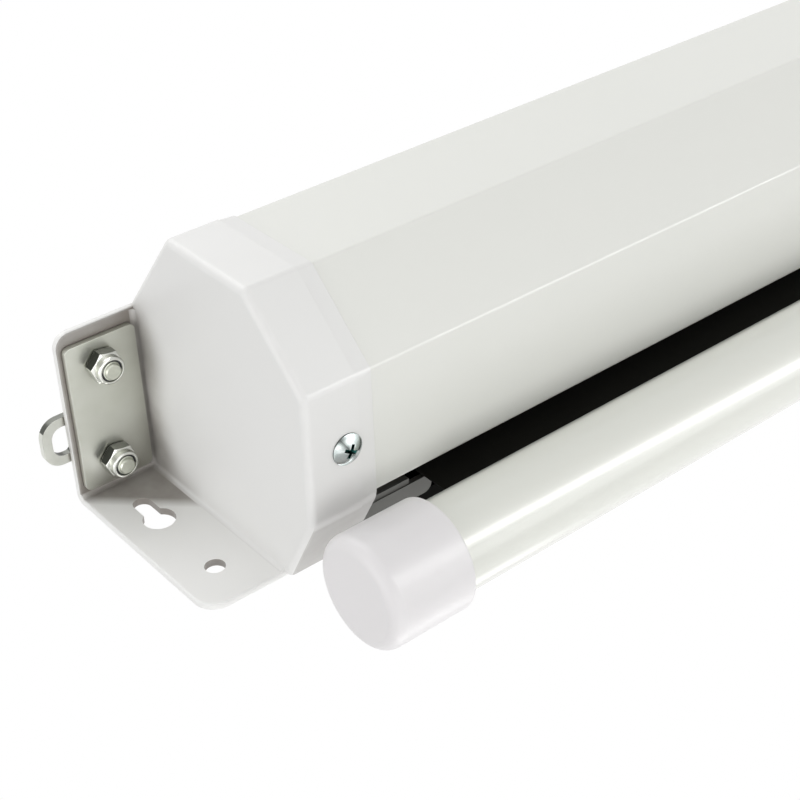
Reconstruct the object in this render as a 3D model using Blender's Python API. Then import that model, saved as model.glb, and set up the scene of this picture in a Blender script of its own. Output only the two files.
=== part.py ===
"""Pull-down projector screen in a seven-sided wall housing.

The row origin is a point on the back of the left wall flange, between its keyhole and its round hole.
+X runs along the housing to the right, -Y points away from the wall and +Z points to the ceiling.
All lengths are in metres; MM turns millimetres into metres.
"""

import math

import bmesh
import bpy
from mathutils import Matrix, Vector

MM = 0.001

# Clearance that touching solids keep
GAP = 0.3 * MM

# Points closer than this are one point
WELD = 0.001 * MM

# Picture area and fabric
IMAGE_WIDTH = 1707 * MM
IMAGE_HEIGHT = 1280 * MM
SIDE_BORDER = 36.5 * MM
FABRIC_INSET = 37.5 * MM
TOP_BORDER = 120 * MM
BOTTOM_BORDER = 40 * MM
FABRIC_THICKNESS = 0.42 * MM
SAFETY_WRAP_LENGTH = 300 * MM

# Housing section, seen from its left end: the wall is on the right and the ceiling on top
SECTION_DEPTH = 76 * MM
SECTION_HEIGHT = 72 * MM
UPPER_BEVEL_RUN = 26.2 * MM
UPPER_BEVEL_RISE = 21 * MM
LOWER_BEVEL_RUN = 19.2 * MM
LOWER_BEVEL_RISE = 20.2 * MM
SLOT_BEVEL_RUN = 21.5 * MM
SLOT_BEVEL_RISE = 11.3 * MM
SECTION_RADIUS = 2.4 * MM

# Rolled steel casing
SHEET = 0.8 * MM
SLOT_EDGE_FROM_WALL = 24.9 * MM
FRONT_LIP = 5 * MM
REAR_LIP = 4 * MM
LIP_RADIUS = 1.1 * MM

# Moulded end caps with their two flanges
CAP_DEPTH = 19.4 * MM
CAP_STEP = 1.4 * MM
CAP_END_WALL = 2.5 * MM
CAP_EDGE_RADIUS = 1.8 * MM
FLANGE_WIDTH = 22.2 * MM
FLANGE_THICKNESS = 2.0 * MM
FLANGE_PROUD = 0.05 * MM
WALL_FLANGE_HEIGHT = 59.4 * MM
WALL_FLANGE_RADIUS = 6 * MM
CEILING_FLANGE_RADIUS = 4 * MM

# Wall holes, measured from the cap's end face and down from the ceiling plane
HOLE_INSET = 11.7 * MM
KEY_SLOT_WIDTH = 4.8 * MM
KEY_SLOT_DROP = 14.4 * MM
KEY_ROUND_DIAMETER = 8.4 * MM
KEY_ROUND_DROP = 22.4 * MM
MOUNT_DROP = 35 * MM
LOWER_HOLE_DIAMETER = 5.2 * MM
LOWER_HOLE_DROP = 46.9 * MM

# Hanging eye, backing plate and their bolts
BOLT_SPACING = 28.2 * MM
BOLT_MID_FROM_WALL = 25.3 * MM
BOLT_DIAMETER = 5 * MM
BOLT_TIP_PROUD = 0.8 * MM
BOLT_HEAD_FLATS = 8 * MM
BOLT_HEAD_HEIGHT = 3.5 * MM
NUT_FLATS = 8 * MM
NUT_HEX_HEIGHT = 3.1 * MM
NUT_COLLAR_DIAMETER = 7 * MM
NUT_COLLAR_HEIGHT = 2.0 * MM
PLATE_WIDTH = 19.6 * MM
PLATE_LENGTH = 43.4 * MM
PLATE_MID_FROM_WALL = 26.1 * MM
PLATE_THICKNESS = 1.5 * MM
PLATE_CORNER_RADIUS = 1.2 * MM
EYE_PLATE_THICKNESS = 1.8 * MM
EYE_REACH = 7 * MM
EYE_BAND = 3 * MM
EYE_LOOP_LENGTH = 15.4 * MM
EYE_LOOP_FROM_WALL = 18.8 * MM
EYE_CORNER_RADIUS = 5 * MM

# Pan-head screw through the cap and the casing into the insert
SCREW_INSET = 11.1 * MM
SCREW_FROM_WALL = 39.1 * MM
SCREW_SHANK = 4 * MM
SCREW_HEAD_DIAMETER = 9.4 * MM
SCREW_HEAD_HEIGHT = 2.8 * MM
SCREW_LENGTH = 12 * MM
SCREW_POST_WIDTH = 9 * MM

# Insert that closes the casing's end and carries the roller
INSERT_PLATE = 4 * MM
SOCKET_FLOOR = 1.2 * MM
BOSS_LENGTH = 12 * MM
BOSS_WALL = 3.2 * MM
TONGUE_WIDTH = 5 * MM
TONGUE_THICKNESS = 1.6 * MM
TONGUE_FROM_WALL = 8.2 * MM
TONGUE_DROP = 62.1 * MM
TONGUE_REACH = 43.6 * MM
RIB_WIDTH = 1.6 * MM
RIB_HEIGHT = 2.6 * MM
RIB_REACH = 36.7 * MM

# Roller
ROLLER_DROP = 36 * MM
ROLLER_DIAMETER = 39 * MM
ROLLER_WALL = 1.2 * MM
ROLLER_PAST_FABRIC = 12 * MM
PLUG_RIM = 3 * MM
PLUG_RIM_WIDTH = 2.4 * MM
PLUG_LENGTH = 22 * MM
IDLE_PIN_DIAMETER = 8 * MM
IDLE_PIN_PAST_PLUG = 3 * MM
BUSH_WALL = 2 * MM
BUSH_FLANGE_RIM = 2 * MM
BUSH_FLANGE_WIDTH = 1.2 * MM
SHAFT_DIAMETER = 9 * MM
SHAFT_PAST_PLUG = 40 * MM
TENON_WIDTH = 8 * MM
TENON_THICKNESS = 4 * MM

# Ratchet on the fixed shaft and the two pawls on the roller's plug
RATCHET_RADIUS = 9 * MM
RATCHET_WIDTH = 4 * MM
RATCHET_STEP = 2.7 * MM
PAWL_ARM = 12.5 * MM
PAWL_HEIGHT = 2.8 * MM
PAWL_WIDTH = 3.2 * MM
PAWL_EYE_RADIUS = 3.2 * MM
PAWL_PIN_DIAMETER = 3 * MM
PAWL_PIN_SEAT = 1.4 * MM
PAWL_PIN_HEAD = 1 * MM
PAWL_PIN_HEAD_RIM = 1.2 * MM
PAWL_LIFT_DEG = 22
PAWL_SEAT = 3 * MM

# Torsion spring inside the roller
SPRING_COILS = 14
SPRING_STEPS = 8
SPRING_PITCH = 12 * MM
SPRING_WIRE = 2.4 * MM
SPRING_MEAN_RADIUS = 12 * MM
ANCHOR_LENGTH = 30 * MM
ANCHOR_SPIGOT = 14 * MM

# Weight bar
BAR_DIAMETER = 23.4 * MM
BAR_WALL = 1.1 * MM
BAR_SLIT = 2.4 * MM
BAR_CAP_WALL = 2.2 * MM
BAR_CAP_LENGTH = 23.2 * MM
BAR_CAP_END_WALL = 3 * MM
BAR_CAP_RADIUS_EDGE = 3.2 * MM
BAR_CAP_OVERHANG = 2.6 * MM
BAR_WALL_CLEARANCE = 1.25 * MM
BAR_DROP_CLEARANCE = 4.65 * MM
HEM_DEPTH = 4.2 * MM
HEM_ROD_DIAMETER = 6 * MM

# Pull handle at the middle of the bar
SADDLE_LENGTH = 46 * MM
SADDLE_WALL = 2.4 * MM
SADDLE_OPENING_DEG = 84
EAR_THICKNESS = 4 * MM
EAR_WIDTH = 11 * MM
BAIL_ROD = 4 * MM
BAIL_DEPTH = 34 * MM
BAIL_BEND_RADIUS = 9 * MM
BAIL_EYE_DROP = 7 * MM
HANDLE_SCREW_LENGTH = 6 * MM
HANDLE_SCREW_SCALE = 0.8

# Colours as linear red, green and blue, then roughness and metallic value
WHITE_PAINT = ((0.78, 0.78, 0.75), 0.42, 0.0)
WHITE_PLASTIC = ((0.80, 0.80, 0.78), 0.48, 0.0)
GREY_PLASTIC = ((0.45, 0.46, 0.45), 0.55, 0.0)
ZINC = ((0.55, 0.56, 0.52), 0.34, 1.0)
BRIGHT_STEEL = ((0.60, 0.60, 0.58), 0.28, 1.0)
BLACK_CLOTH = ((0.006, 0.006, 0.005), 0.85, 0.0)
NYLON = ((0.70, 0.69, 0.62), 0.45, 0.0)

# Sizes that follow from the ones above
FABRIC_WIDTH = IMAGE_WIDTH + 2 * SIDE_BORDER
FABRIC_DROP = TOP_BORDER + IMAGE_HEIGHT + BOTTOM_BORDER
HOUSING_LENGTH = FABRIC_WIDTH + 2 * FABRIC_INSET
LEFT_END = HOLE_INSET
RIGHT_END = LEFT_END + HOUSING_LENGTH
MID_X = LEFT_END + HOUSING_LENGTH / 2
CEILING = MOUNT_DROP
CASING_INSET = CAP_END_WALL + GAP
INSERT_FACE = CASING_INSET + INSERT_PLATE
BAR_CAP_RADIUS = BAR_DIAMETER / 2 + GAP + BAR_CAP_WALL
FABRIC_Y = -(BAR_CAP_RADIUS + BAR_WALL_CLEARANCE)
BAR_Z = CEILING - SECTION_HEIGHT - BAR_DROP_CLEARANCE - BAR_CAP_RADIUS
ROLLER_RADIUS = ROLLER_DIAMETER / 2
WOUND_LENGTH = FABRIC_DROP + SAFETY_WRAP_LENGTH
ROLL_RADIUS = math.sqrt((ROLLER_RADIUS + GAP) ** 2 + FABRIC_THICKNESS * WOUND_LENGTH / math.pi)
ROLLER_Y = FABRIC_Y - FABRIC_THICKNESS / 2 - GAP - ROLL_RADIUS
ROLLER_Z = CEILING - ROLLER_DROP
ROLLER_INSET = FABRIC_INSET - ROLLER_PAST_FABRIC
PLUG_FACE = ROLLER_INSET - GAP - PLUG_RIM_WIDTH
BORE_RADIUS = ROLLER_RADIUS - ROLLER_WALL
PLATE_FACE = FLANGE_THICKNESS + GAP
FLANGE_MID = FLANGE_WIDTH / 2


def clear_scene():
    """Remove every object that the scene holds."""
    for obj in list(bpy.data.objects):
        bpy.data.objects.remove(obj, do_unlink=True)


def arc(centre, radius, start_deg, end_deg, steps):
    """Points on a circular arc, both ends included."""
    points = []
    for k in range(steps + 1):
        angle = math.radians(start_deg + (end_deg - start_deg) * k / steps)
        points.append((centre[0] + radius * math.cos(angle), centre[1] + radius * math.sin(angle)))
    return points


def circle(centre, radius, steps):
    """Points round a full circle."""
    return arc(centre, radius, 0, 360, steps)[:-1]


def rounded(points, radii, steps=4, closed=True):
    """Replace each corner of a polygon or a path by an arc."""
    result = []
    count = len(points)
    for k, point in enumerate(points):
        radius = radii[k] if isinstance(radii, (list, tuple)) else radii
        at_end = not closed and k in (0, count - 1)
        if at_end or radius <= 0:
            result.append(point)
            continue
        here = Vector(point)
        before = (Vector(points[k - 1]) - here).normalized()
        after = (Vector(points[(k + 1) % count]) - here).normalized()
        half = before.angle(after) / 2
        reach = radius / math.tan(half)
        middle = here + (before + after).normalized() * (radius / math.sin(half))
        first = here + before * reach - middle
        last = here + after * reach - middle
        turn = math.atan2(first.x * last.y - first.y * last.x, first.dot(last))
        for step in range(steps + 1):
            spoke = Matrix.Rotation(turn * step / steps, 2) @ first
            result.append((middle.x + spoke.x, middle.y + spoke.y))
    return result


def shifted_line(start, end, distance):
    """A line moved to its own left by a distance, as a point and a direction."""
    direction = (Vector(end) - Vector(start)).normalized()
    left = Vector((-direction.y, direction.x))
    return Vector(start) + left * distance, direction


def crossing(line_a, line_b):
    """Point where two lines meet."""
    point_a, dir_a = line_a
    point_b, dir_b = line_b
    gap = point_b - point_a
    scale = (gap.x * dir_b.y - gap.y * dir_b.x) / (dir_a.x * dir_b.y - dir_a.y * dir_b.x)
    meet = point_a + dir_a * scale
    return meet.x, meet.y


def inset_polygon(points, distances):
    """Move every side of a counter-clockwise polygon inwards."""
    count = len(points)
    lines = [shifted_line(points[k], points[(k + 1) % count], distances[k]) for k in range(count)]
    return [crossing(lines[k - 1], lines[k]) for k in range(count)]


def inset_path(points, distance):
    """Move an open path to its own left, its ends kept square."""
    lines = [shifted_line(points[k], points[k + 1], distance) for k in range(len(points) - 1)]
    moved = [tuple(lines[0][0])]
    for k in range(1, len(lines)):
        moved.append(crossing(lines[k - 1], lines[k]))
    last_dir = lines[-1][1]
    left = Vector((-last_dir.y, last_dir.x))
    moved.append(tuple(Vector(points[-1]) + left * distance))
    return moved


def section_corners():
    """Corners of the end cap's section as (y, z below the ceiling), from the wall and ceiling corner."""
    return [
        (0, 0),
        (-(SECTION_DEPTH - UPPER_BEVEL_RUN), 0),
        (-SECTION_DEPTH, -UPPER_BEVEL_RISE),
        (-SECTION_DEPTH, -(SECTION_HEIGHT - LOWER_BEVEL_RISE)),
        (-(SECTION_DEPTH - LOWER_BEVEL_RUN), -SECTION_HEIGHT),
        (-SLOT_BEVEL_RUN, -SECTION_HEIGHT),
        (0, -(SECTION_HEIGHT - SLOT_BEVEL_RISE)),
    ]


def section_ring(inset, slot_inset=None, flange_inset=None):
    """Rounded section moved inwards; the slot side and the two flange sides can differ."""
    slot = inset if slot_inset is None else slot_inset
    flange = inset if flange_inset is None else flange_inset
    distances = [flange, inset, inset, inset, inset, slot, flange]
    least = 0.4 * MM
    radii = [max(SECTION_RADIUS - flange, least)] + [max(SECTION_RADIUS - inset, least)] * 6
    return rounded(inset_polygon(section_corners(), distances), radii)


def finish_mesh(bm, name):
    """Weld a bmesh, turn its faces outwards and give it to a new mesh."""
    bmesh.ops.remove_doubles(bm, verts=bm.verts, dist=WELD)
    bmesh.ops.recalc_face_normals(bm, faces=bm.faces)
    mesh = bpy.data.meshes.new(name)
    bm.to_mesh(mesh)
    bm.free()
    return mesh


def add_object(name, mesh, finish, location=(0, 0, 0), parent=None):
    """Place a mesh as a named object with its own material."""
    obj = bpy.data.objects.new(name, mesh)
    bpy.context.scene.collection.objects.link(obj)
    obj.location = location
    obj.parent = parent
    if finish:
        colour, roughness, metallic = finish
        material = bpy.data.materials.new(name)
        material.use_nodes = True
        shader = material.node_tree.nodes["Principled BSDF"]
        shader.inputs["Base Color"].default_value = (*colour, 1)
        shader.inputs["Roughness"].default_value = roughness
        shader.inputs["Metallic"].default_value = metallic
        if not mesh.materials:
            mesh.materials.append(material)
        obj.material_slots[0].link = "OBJECT"
        obj.material_slots[0].material = material
    return obj


def frame(name, location, parent=None):
    """Empty that carries the pieces of one body."""
    empty = bpy.data.objects.new(name, None)
    bpy.context.scene.collection.objects.link(empty)
    empty.location = location
    empty.parent = parent
    return empty


def to_space(axis, a, b, along):
    """Point of an outline in the plane square to an axis, at a distance along it."""
    if axis == "X":
        return along, a, b
    if axis == "Y":
        return a, along, b
    return a, b, along


def prism_mesh(name, outline, axis, low, high):
    """Solid made by extruding an outline along an axis."""
    bm = bmesh.new()
    verts = [bm.verts.new(to_space(axis, a, b, low)) for a, b in outline]
    face = bm.faces.new(verts)
    grown = bmesh.ops.extrude_face_region(bm, geom=[face])
    moved = [item for item in grown["geom"] if isinstance(item, bmesh.types.BMVert)]
    offset = Vector(to_space(axis, 0, 0, high - low))
    bmesh.ops.translate(bm, verts=moved, vec=offset)
    return finish_mesh(bm, name)


def loft_mesh(name, rings):
    """Solid through a row of point rings with equal counts."""
    bm = bmesh.new()
    rows = [[bm.verts.new(point) for point in ring] for ring in rings]
    for lower, upper in zip(rows, rows[1:]):
        for k in range(len(lower)):
            n = (k + 1) % len(lower)
            bm.faces.new((lower[k], lower[n], upper[n], upper[k]))
    bm.faces.new(rows[0])
    bm.faces.new(rows[-1])
    return finish_mesh(bm, name)


def turned_mesh(name, profile, steps, axis="X"):
    """Solid turned about an axis from a closed profile of (along, radius) points."""
    bm = bmesh.new()
    verts = [bm.verts.new(to_space(axis, radius, 0, along)) for along, radius in profile]
    for k in range(len(verts)):
        bm.edges.new((verts[k - 1], verts[k]))
    direction = Vector(to_space(axis, 0, 0, 1))
    geom = bm.verts[:] + bm.edges[:]
    turn = 2 * math.pi
    bmesh.ops.spin(bm, geom=geom, cent=(0, 0, 0), axis=direction, angle=turn, steps=steps)
    bmesh.ops.remove_doubles(bm, verts=bm.verts, dist=WELD)
    flat = [edge for edge in bm.edges if not edge.link_faces]
    bmesh.ops.delete(bm, geom=flat, context="EDGES")
    return finish_mesh(bm, name)


def tube_mesh(name, points, radius, sides):
    """Round rod along a path of points, its ends closed."""
    rings = []
    normal = None
    count = len(points)
    for k, point in enumerate(points):
        here = Vector(point)
        ahead = Vector(points[min(k + 1, count - 1)])
        behind = Vector(points[max(k - 1, 0)])
        tangent = (ahead - behind).normalized()
        if normal is None:
            normal = tangent.orthogonal().normalized()
        normal = (normal - tangent * normal.dot(tangent)).normalized()
        side = tangent.cross(normal)
        ring = []
        for step in range(sides):
            angle = 2 * math.pi * step / sides
            ring.append(here + (normal * math.cos(angle) + side * math.sin(angle)) * radius)
        rings.append(ring)
    return loft_mesh(name, rings)


def guide(name, mesh, location=(0, 0, 0), parent=None):
    """Hidden object that only cuts or extends another."""
    obj = add_object(name, mesh, None, location, parent)
    obj.hide_render = True
    obj.display_type = "WIRE"
    return obj


def boolean(target, other, operation):
    """Cut or join a solid with an exact Boolean."""
    modifier = target.modifiers.new(other.name, "BOOLEAN")
    modifier.operation = operation
    modifier.solver = "EXACT"
    modifier.object = other


def cut(target, name, mesh):
    """Cut a mesh, given in the target's own coordinates, out of it."""
    boolean(target, guide(name, mesh, target.location, target.parent), "DIFFERENCE")


def join(target, name, mesh):
    """Add a mesh, given in the target's own coordinates, to it."""
    boolean(target, guide(name, mesh, target.location, target.parent), "UNION")


def smooth(obj, angle_deg=35):
    """Shade round faces smooth and keep true corners sharp."""
    obj.data.shade_smooth()
    obj.data.set_sharp_from_angle(angle=math.radians(angle_deg))


class End:
    """One end of the housing: u runs inwards from the cap's end face."""

    def __init__(self, label, sign, x):
        self.label = label
        self.sign = sign
        self.x = x

    def at(self, u, y, z):
        """World point from a distance inwards, y, and z below the ceiling."""
        return Vector((self.x + self.sign * u, y, CEILING + z))

    def span(self, first, last):
        """A pair of distances inwards as an ordered pair of local x values."""
        return sorted((self.sign * first, self.sign * last))

    def flip(self, outline):
        """An outline whose first value is a distance inwards, in local x."""
        return [(self.sign * u, v) for u, v in outline]


def casing_path():
    """Outer path of the casing's sheet, from the rear lip's tip round to the front lip's tip."""
    corners = inset_polygon(section_corners(), [CAP_STEP] * 7)
    rear = (corners[6][0], corners[6][1] + LIP_RADIUS)
    front = (-SLOT_EDGE_FROM_WALL, corners[4][1])
    rear_tip = (rear[0] - REAR_LIP, rear[1])
    front_tip = (front[0], front[1] + FRONT_LIP)
    return [rear_tip, rear, *corners[0:5], front, front_tip]


def build_casing(parent):
    """Rolled sheet with a slot along its lower rear side."""
    outer = casing_path()
    inner = inset_path(outer, SHEET)
    radii = [0, LIP_RADIUS] + [SECTION_RADIUS - CAP_STEP + SHEET] * 5 + [LIP_RADIUS, 0]
    small = [max(radius - SHEET, 0.2 * MM) for radius in radii]
    ring = rounded(outer, radii, 4, False) + list(reversed(rounded(inner, small, 4, False)))
    mesh = prism_mesh("casing", ring, "X", CASING_INSET, HOUSING_LENGTH - CASING_INSET)
    casing = add_object("casing", mesh, WHITE_PAINT, (LEFT_END, 0, CEILING), parent)
    for label, inset in (("left", SCREW_INSET), ("right", HOUSING_LENGTH - SCREW_INSET)):
        hole = prism_mesh("hole", circle((inset, -SCREW_FROM_WALL), SCREW_SHANK / 2 + GAP, 16),
                          "Z", -SECTION_HEIGHT, -SECTION_HEIGHT + CAP_STEP + 2 * SHEET)
        cut(casing, "casing_hole_" + label, hole)
    smooth(casing)


def corner_cutter(corner, radius, toward, margin):
    """Outline of what a rounded corner takes away; toward points into the plate."""
    cx, cy = corner
    sx, sy = toward
    middle = (cx + sx * radius, cy + sy * radius)
    outline = [(cx - sx * margin, cy - sy * margin), (middle[0], cy - sy * margin)]
    for k in range(7):
        angle = math.radians(90 * k / 6)
        outline.append((middle[0] - sx * radius * math.sin(angle), middle[1] - sy * radius * math.cos(angle)))
    outline.append((cx - sx * margin, middle[1]))
    return outline


def keyhole(end):
    """Keyhole outline: a narrow slot on top and a round opening below it."""
    half = KEY_SLOT_WIDTH / 2
    big = KEY_ROUND_DIAMETER / 2
    u = -HOLE_INSET
    neck = math.degrees(math.acos(half / big))
    outline = arc((u, -KEY_SLOT_DROP), half, 0, 180, 8)
    outline += arc((u, -KEY_ROUND_DROP), big, 180 - neck, 360 + neck, 20)
    return end.flip(outline)


def build_cap(end, parent):
    """Cup-shaped end cap with a wall flange and a ceiling flange."""
    rings = []
    for k in range(4):
        angle = math.radians(90 * k / 3)
        inset = CAP_EDGE_RADIUS * (1 - math.sin(angle))
        u = CAP_EDGE_RADIUS * (1 - math.cos(angle))
        rings.append([(end.sign * u, y, z) for y, z in section_ring(inset, flange_inset=FLANGE_PROUD)])
    rings.append([(end.sign * CAP_DEPTH, y, z) for y, z in section_ring(0, flange_inset=FLANGE_PROUD)])
    name = "cap_" + end.label
    cap = add_object(name, loft_mesh(name, rings), WHITE_PLASTIC, (end.x, 0, CEILING), parent)

    margin = 2 * MM
    depth = SECTION_DEPTH - UPPER_BEVEL_RUN
    thick = FLANGE_THICKNESS
    angle_section = [(0, -WALL_FLANGE_HEIGHT), (0, 0), (-depth, 0), (-depth, -thick), (-thick, -thick),
                     (-thick, -WALL_FLANGE_HEIGHT)]
    radii = [0, SECTION_RADIUS, 0, 0, 1 * MM, 0]
    low, high = end.span(-FLANGE_WIDTH, CAP_END_WALL / 2)
    join(cap, name + "_angle", prism_mesh("angle", rounded(angle_section, radii), "X", low, high))

    low, high = end.span(CAP_END_WALL, CAP_DEPTH + margin)
    hollow = section_ring(CAP_STEP - GAP)
    cut(cap, name + "_hollow", prism_mesh("hollow", hollow, "X", low, high))

    wall_corner = corner_cutter((-FLANGE_WIDTH, -WALL_FLANGE_HEIGHT), WALL_FLANGE_RADIUS, (1, 1), margin)
    wall_cut = prism_mesh("corner", end.flip(wall_corner), "Y", -thick - margin, margin)
    cut(cap, name + "_wall_corner", wall_cut)
    top_corner = corner_cutter((-FLANGE_WIDTH, -depth), CEILING_FLANGE_RADIUS, (1, 1), margin)
    top_cut = prism_mesh("corner", end.flip(top_corner), "Z", -thick - margin, margin)
    cut(cap, name + "_ceiling_corner", top_cut)

    cut(cap, name + "_keyhole", prism_mesh("keyhole", keyhole(end), "Y", -thick - margin, margin))
    lower_hole = end.flip(circle((-HOLE_INSET, -LOWER_HOLE_DROP), LOWER_HOLE_DIAMETER / 2, 16))
    cut(cap, name + "_lower_hole", prism_mesh("hole", lower_hole, "Y", -thick - margin, margin))
    for place, y in bolt_rows():
        hole = end.flip(circle((-HOLE_INSET, y), BOLT_DIAMETER / 2 + GAP, 16))
        cut(cap, name + "_bolt_hole_" + place, prism_mesh("hole", hole, "Z", -thick - margin, margin))
    hole = end.flip(circle((SCREW_INSET, -SCREW_FROM_WALL), SCREW_SHANK / 2 + GAP, 16))
    bottom = -SECTION_HEIGHT
    cut(cap, name + "_screw_hole", prism_mesh("hole", hole, "Z", bottom - margin, bottom + margin))
    smooth(cap)


def bolt_rows():
    """The two bolts of an end: the front one and the one near the wall."""
    return (("front", -BOLT_MID_FROM_WALL - BOLT_SPACING / 2), ("rear", -BOLT_MID_FROM_WALL + BOLT_SPACING / 2))


def plate_outline(length, width, mid_y, radius):
    """Rounded plate outline under the ceiling flange, as (u, y)."""
    near = -FLANGE_MID + width / 2
    far = near - width
    corners = [(near, mid_y - length / 2), (near, mid_y + length / 2),
               (far, mid_y + length / 2), (far, mid_y - length / 2)]
    return rounded(corners, radius, 3)


def drill_bolts(end, plate, low, high):
    """Cut the two bolt holes through a plate."""
    for place, y in bolt_rows():
        hole = end.flip(circle((-HOLE_INSET, y), BOLT_DIAMETER / 2 + GAP, 16))
        cut(plate, plate.name + "_hole_" + place, prism_mesh("hole", hole, "Z", low - MM, high + MM))


def build_hanger(end, parent):
    """Backing plate, eye plate, bolts and self-locking nuts of one ceiling flange."""
    spot = (end.x, 0, CEILING)
    outline = plate_outline(PLATE_LENGTH, PLATE_WIDTH, -PLATE_MID_FROM_WALL, PLATE_CORNER_RADIUS)
    low = -PLATE_FACE - PLATE_THICKNESS
    mesh = prism_mesh("backing_plate", end.flip(outline), "Z", low, -PLATE_FACE)
    backing = add_object("backing_plate_" + end.label, mesh, ZINC, spot, parent)
    drill_bolts(end, backing, low, -PLATE_FACE)

    high = GAP + EYE_PLATE_THICKNESS
    mesh = prism_mesh("eye_plate", end.flip(outline), "Z", GAP, high)
    eye = add_object("eye_plate_" + end.label, mesh, ZINC, spot, parent)
    half = EYE_LOOP_LENGTH / 2
    tip = -FLANGE_WIDTH - EYE_REACH
    root = -FLANGE_MID
    mid = -EYE_LOOP_FROM_WALL
    loop = [(tip, mid - half), (root, mid - half), (root, mid + half), (tip, mid + half)]
    rim = rounded(loop, [EYE_CORNER_RADIUS, 0, 0, EYE_CORNER_RADIUS], 6)
    join(eye, eye.name + "_loop", prism_mesh("loop", end.flip(rim), "Z", GAP, high))
    inner_root = -FLANGE_MID - PLATE_WIDTH / 2 - GAP
    band = EYE_BAND
    hole = [(tip + band, mid - half + band), (inner_root, mid - half + band),
            (inner_root, mid + half - band), (tip + band, mid + half - band)]
    inner = EYE_CORNER_RADIUS - band
    hole = rounded(hole, [inner, 0, 0, inner], 4)
    cut(eye, eye.name + "_opening", prism_mesh("opening", end.flip(hole), "Z", GAP - MM, high + MM))
    drill_bolts(end, eye, GAP, high)

    for place, y in bolt_rows():
        centre = end.at(-HOLE_INSET, y, 0)
        build_bolt("bolt_" + end.label + "_" + place, centre, parent)
        build_nut("nut_" + end.label + "_" + place, centre, parent)


def hexagon(flats):
    """Outline of a hexagon with a given width across its flats."""
    radius = flats / 2 / math.cos(math.radians(30))
    return arc((0, 0), radius, 30, 330, 5)


def build_bolt(name, centre, parent):
    """Hexagon-head bolt with a rounded tip, head above the eye plate."""
    top = 2 * GAP + EYE_PLATE_THICKNESS
    tip = -(PLATE_FACE + PLATE_THICKNESS + GAP + NUT_HEX_HEIGHT + NUT_COLLAR_HEIGHT + BOLT_TIP_PROUD)
    radius = BOLT_DIAMETER / 2
    edge = 0.7 * MM
    under = top + BOLT_HEAD_HEIGHT / 2
    profile = [(under, 0), (under, radius), (tip + edge, radius), (tip, radius - edge), (tip, 0)]
    bolt = add_object(name, prism_mesh(name, hexagon(BOLT_HEAD_FLATS), "Z", top, top + BOLT_HEAD_HEIGHT),
                      BRIGHT_STEEL, centre, parent)
    join(bolt, name + "_shank", turned_mesh("shank", profile, 20, "Z"))
    smooth(bolt)


def build_nut(name, centre, parent):
    """Hexagon nut with a round locking collar at its free end."""
    top = -(PLATE_FACE + PLATE_THICKNESS + GAP)
    low = top - NUT_HEX_HEIGHT
    collar = NUT_COLLAR_DIAMETER / 2
    edge = 0.5 * MM
    nut = add_object(name, prism_mesh(name, hexagon(NUT_FLATS), "Z", low, top), BRIGHT_STEEL, centre, parent)
    end = low - NUT_COLLAR_HEIGHT
    inside = low + NUT_HEX_HEIGHT / 2
    profile = [(inside, 0), (inside, collar), (end + edge, collar), (end, collar - edge), (end, 0)]
    join(nut, name + "_collar", turned_mesh("collar", profile, 20, "Z"))
    bore = prism_mesh("bore", circle((0, 0), BOLT_DIAMETER / 2 + GAP, 20), "Z", end - MM, top + MM)
    cut(nut, name + "_bore", bore)
    smooth(nut)


def pan_screw_mesh(name, axis, head_radius, head_height, shank_radius, length, outward):
    """Pan-head screw on the origin, its seat at zero and its head on the outward side."""
    profile = [(0, shank_radius), (0, head_radius)]
    for k in range(1, 4):
        angle = math.radians(90 * k / 3)
        radius = head_radius * (0.55 + 0.45 * math.cos(angle))
        profile.append((outward * head_height * (0.3 + 0.7 * math.sin(angle)), radius))
    profile += [(outward * head_height, 0), (-outward * length, 0)]
    profile.append((-outward * length, shank_radius * 0.4))
    profile.append((-outward * (length - 2 * shank_radius), shank_radius))
    return turned_mesh(name, profile, 16, axis)


def cross_recess(screw, axis, head_radius, head_height, outward):
    """Cut a cross-shaped driver recess into a screw's head."""
    arm = head_radius * 0.52
    half = head_radius * 0.13
    low, high = sorted((outward * head_height * 0.35, outward * (head_height + MM)))
    cross = []
    for k in range(4):
        turn = Matrix.Rotation(math.radians(90 * k), 2)
        for point in ((arm, -half), (arm, half), (half, half)):
            spot = turn @ Vector(point)
            cross.append((spot.x, spot.y))
    cut(screw, screw.name + "_recess", prism_mesh("recess", cross, axis, low, high))


def build_cap_screw(end, parent):
    """Screw that holds the cap, the casing and the insert together."""
    name = "cap_screw_" + end.label
    head = SCREW_HEAD_DIAMETER / 2
    mesh = pan_screw_mesh(name, "Z", head, SCREW_HEAD_HEIGHT, SCREW_SHANK / 2, SCREW_LENGTH, -1)
    spot = end.at(SCREW_INSET, -SCREW_FROM_WALL, -SECTION_HEIGHT - GAP)
    screw = add_object(name, mesh, BRIGHT_STEEL, spot, parent)
    cross_recess(screw, "Z", head, SCREW_HEAD_HEIGHT, -1)
    smooth(screw)


def lip_reach():
    """How far the casing's lips reach in from the slot side of the section."""
    path = casing_path()
    corners = section_corners()
    start, direction = shifted_line(corners[5], corners[6], 0)
    left = Vector((-direction.y, direction.x))
    tips = [path[0], path[-1], (path[-1][0] - SHEET, path[-1][1]), (path[0][0], path[0][1] + SHEET)]
    return max((Vector(tip) - start).dot(left) for tip in tips)


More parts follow.
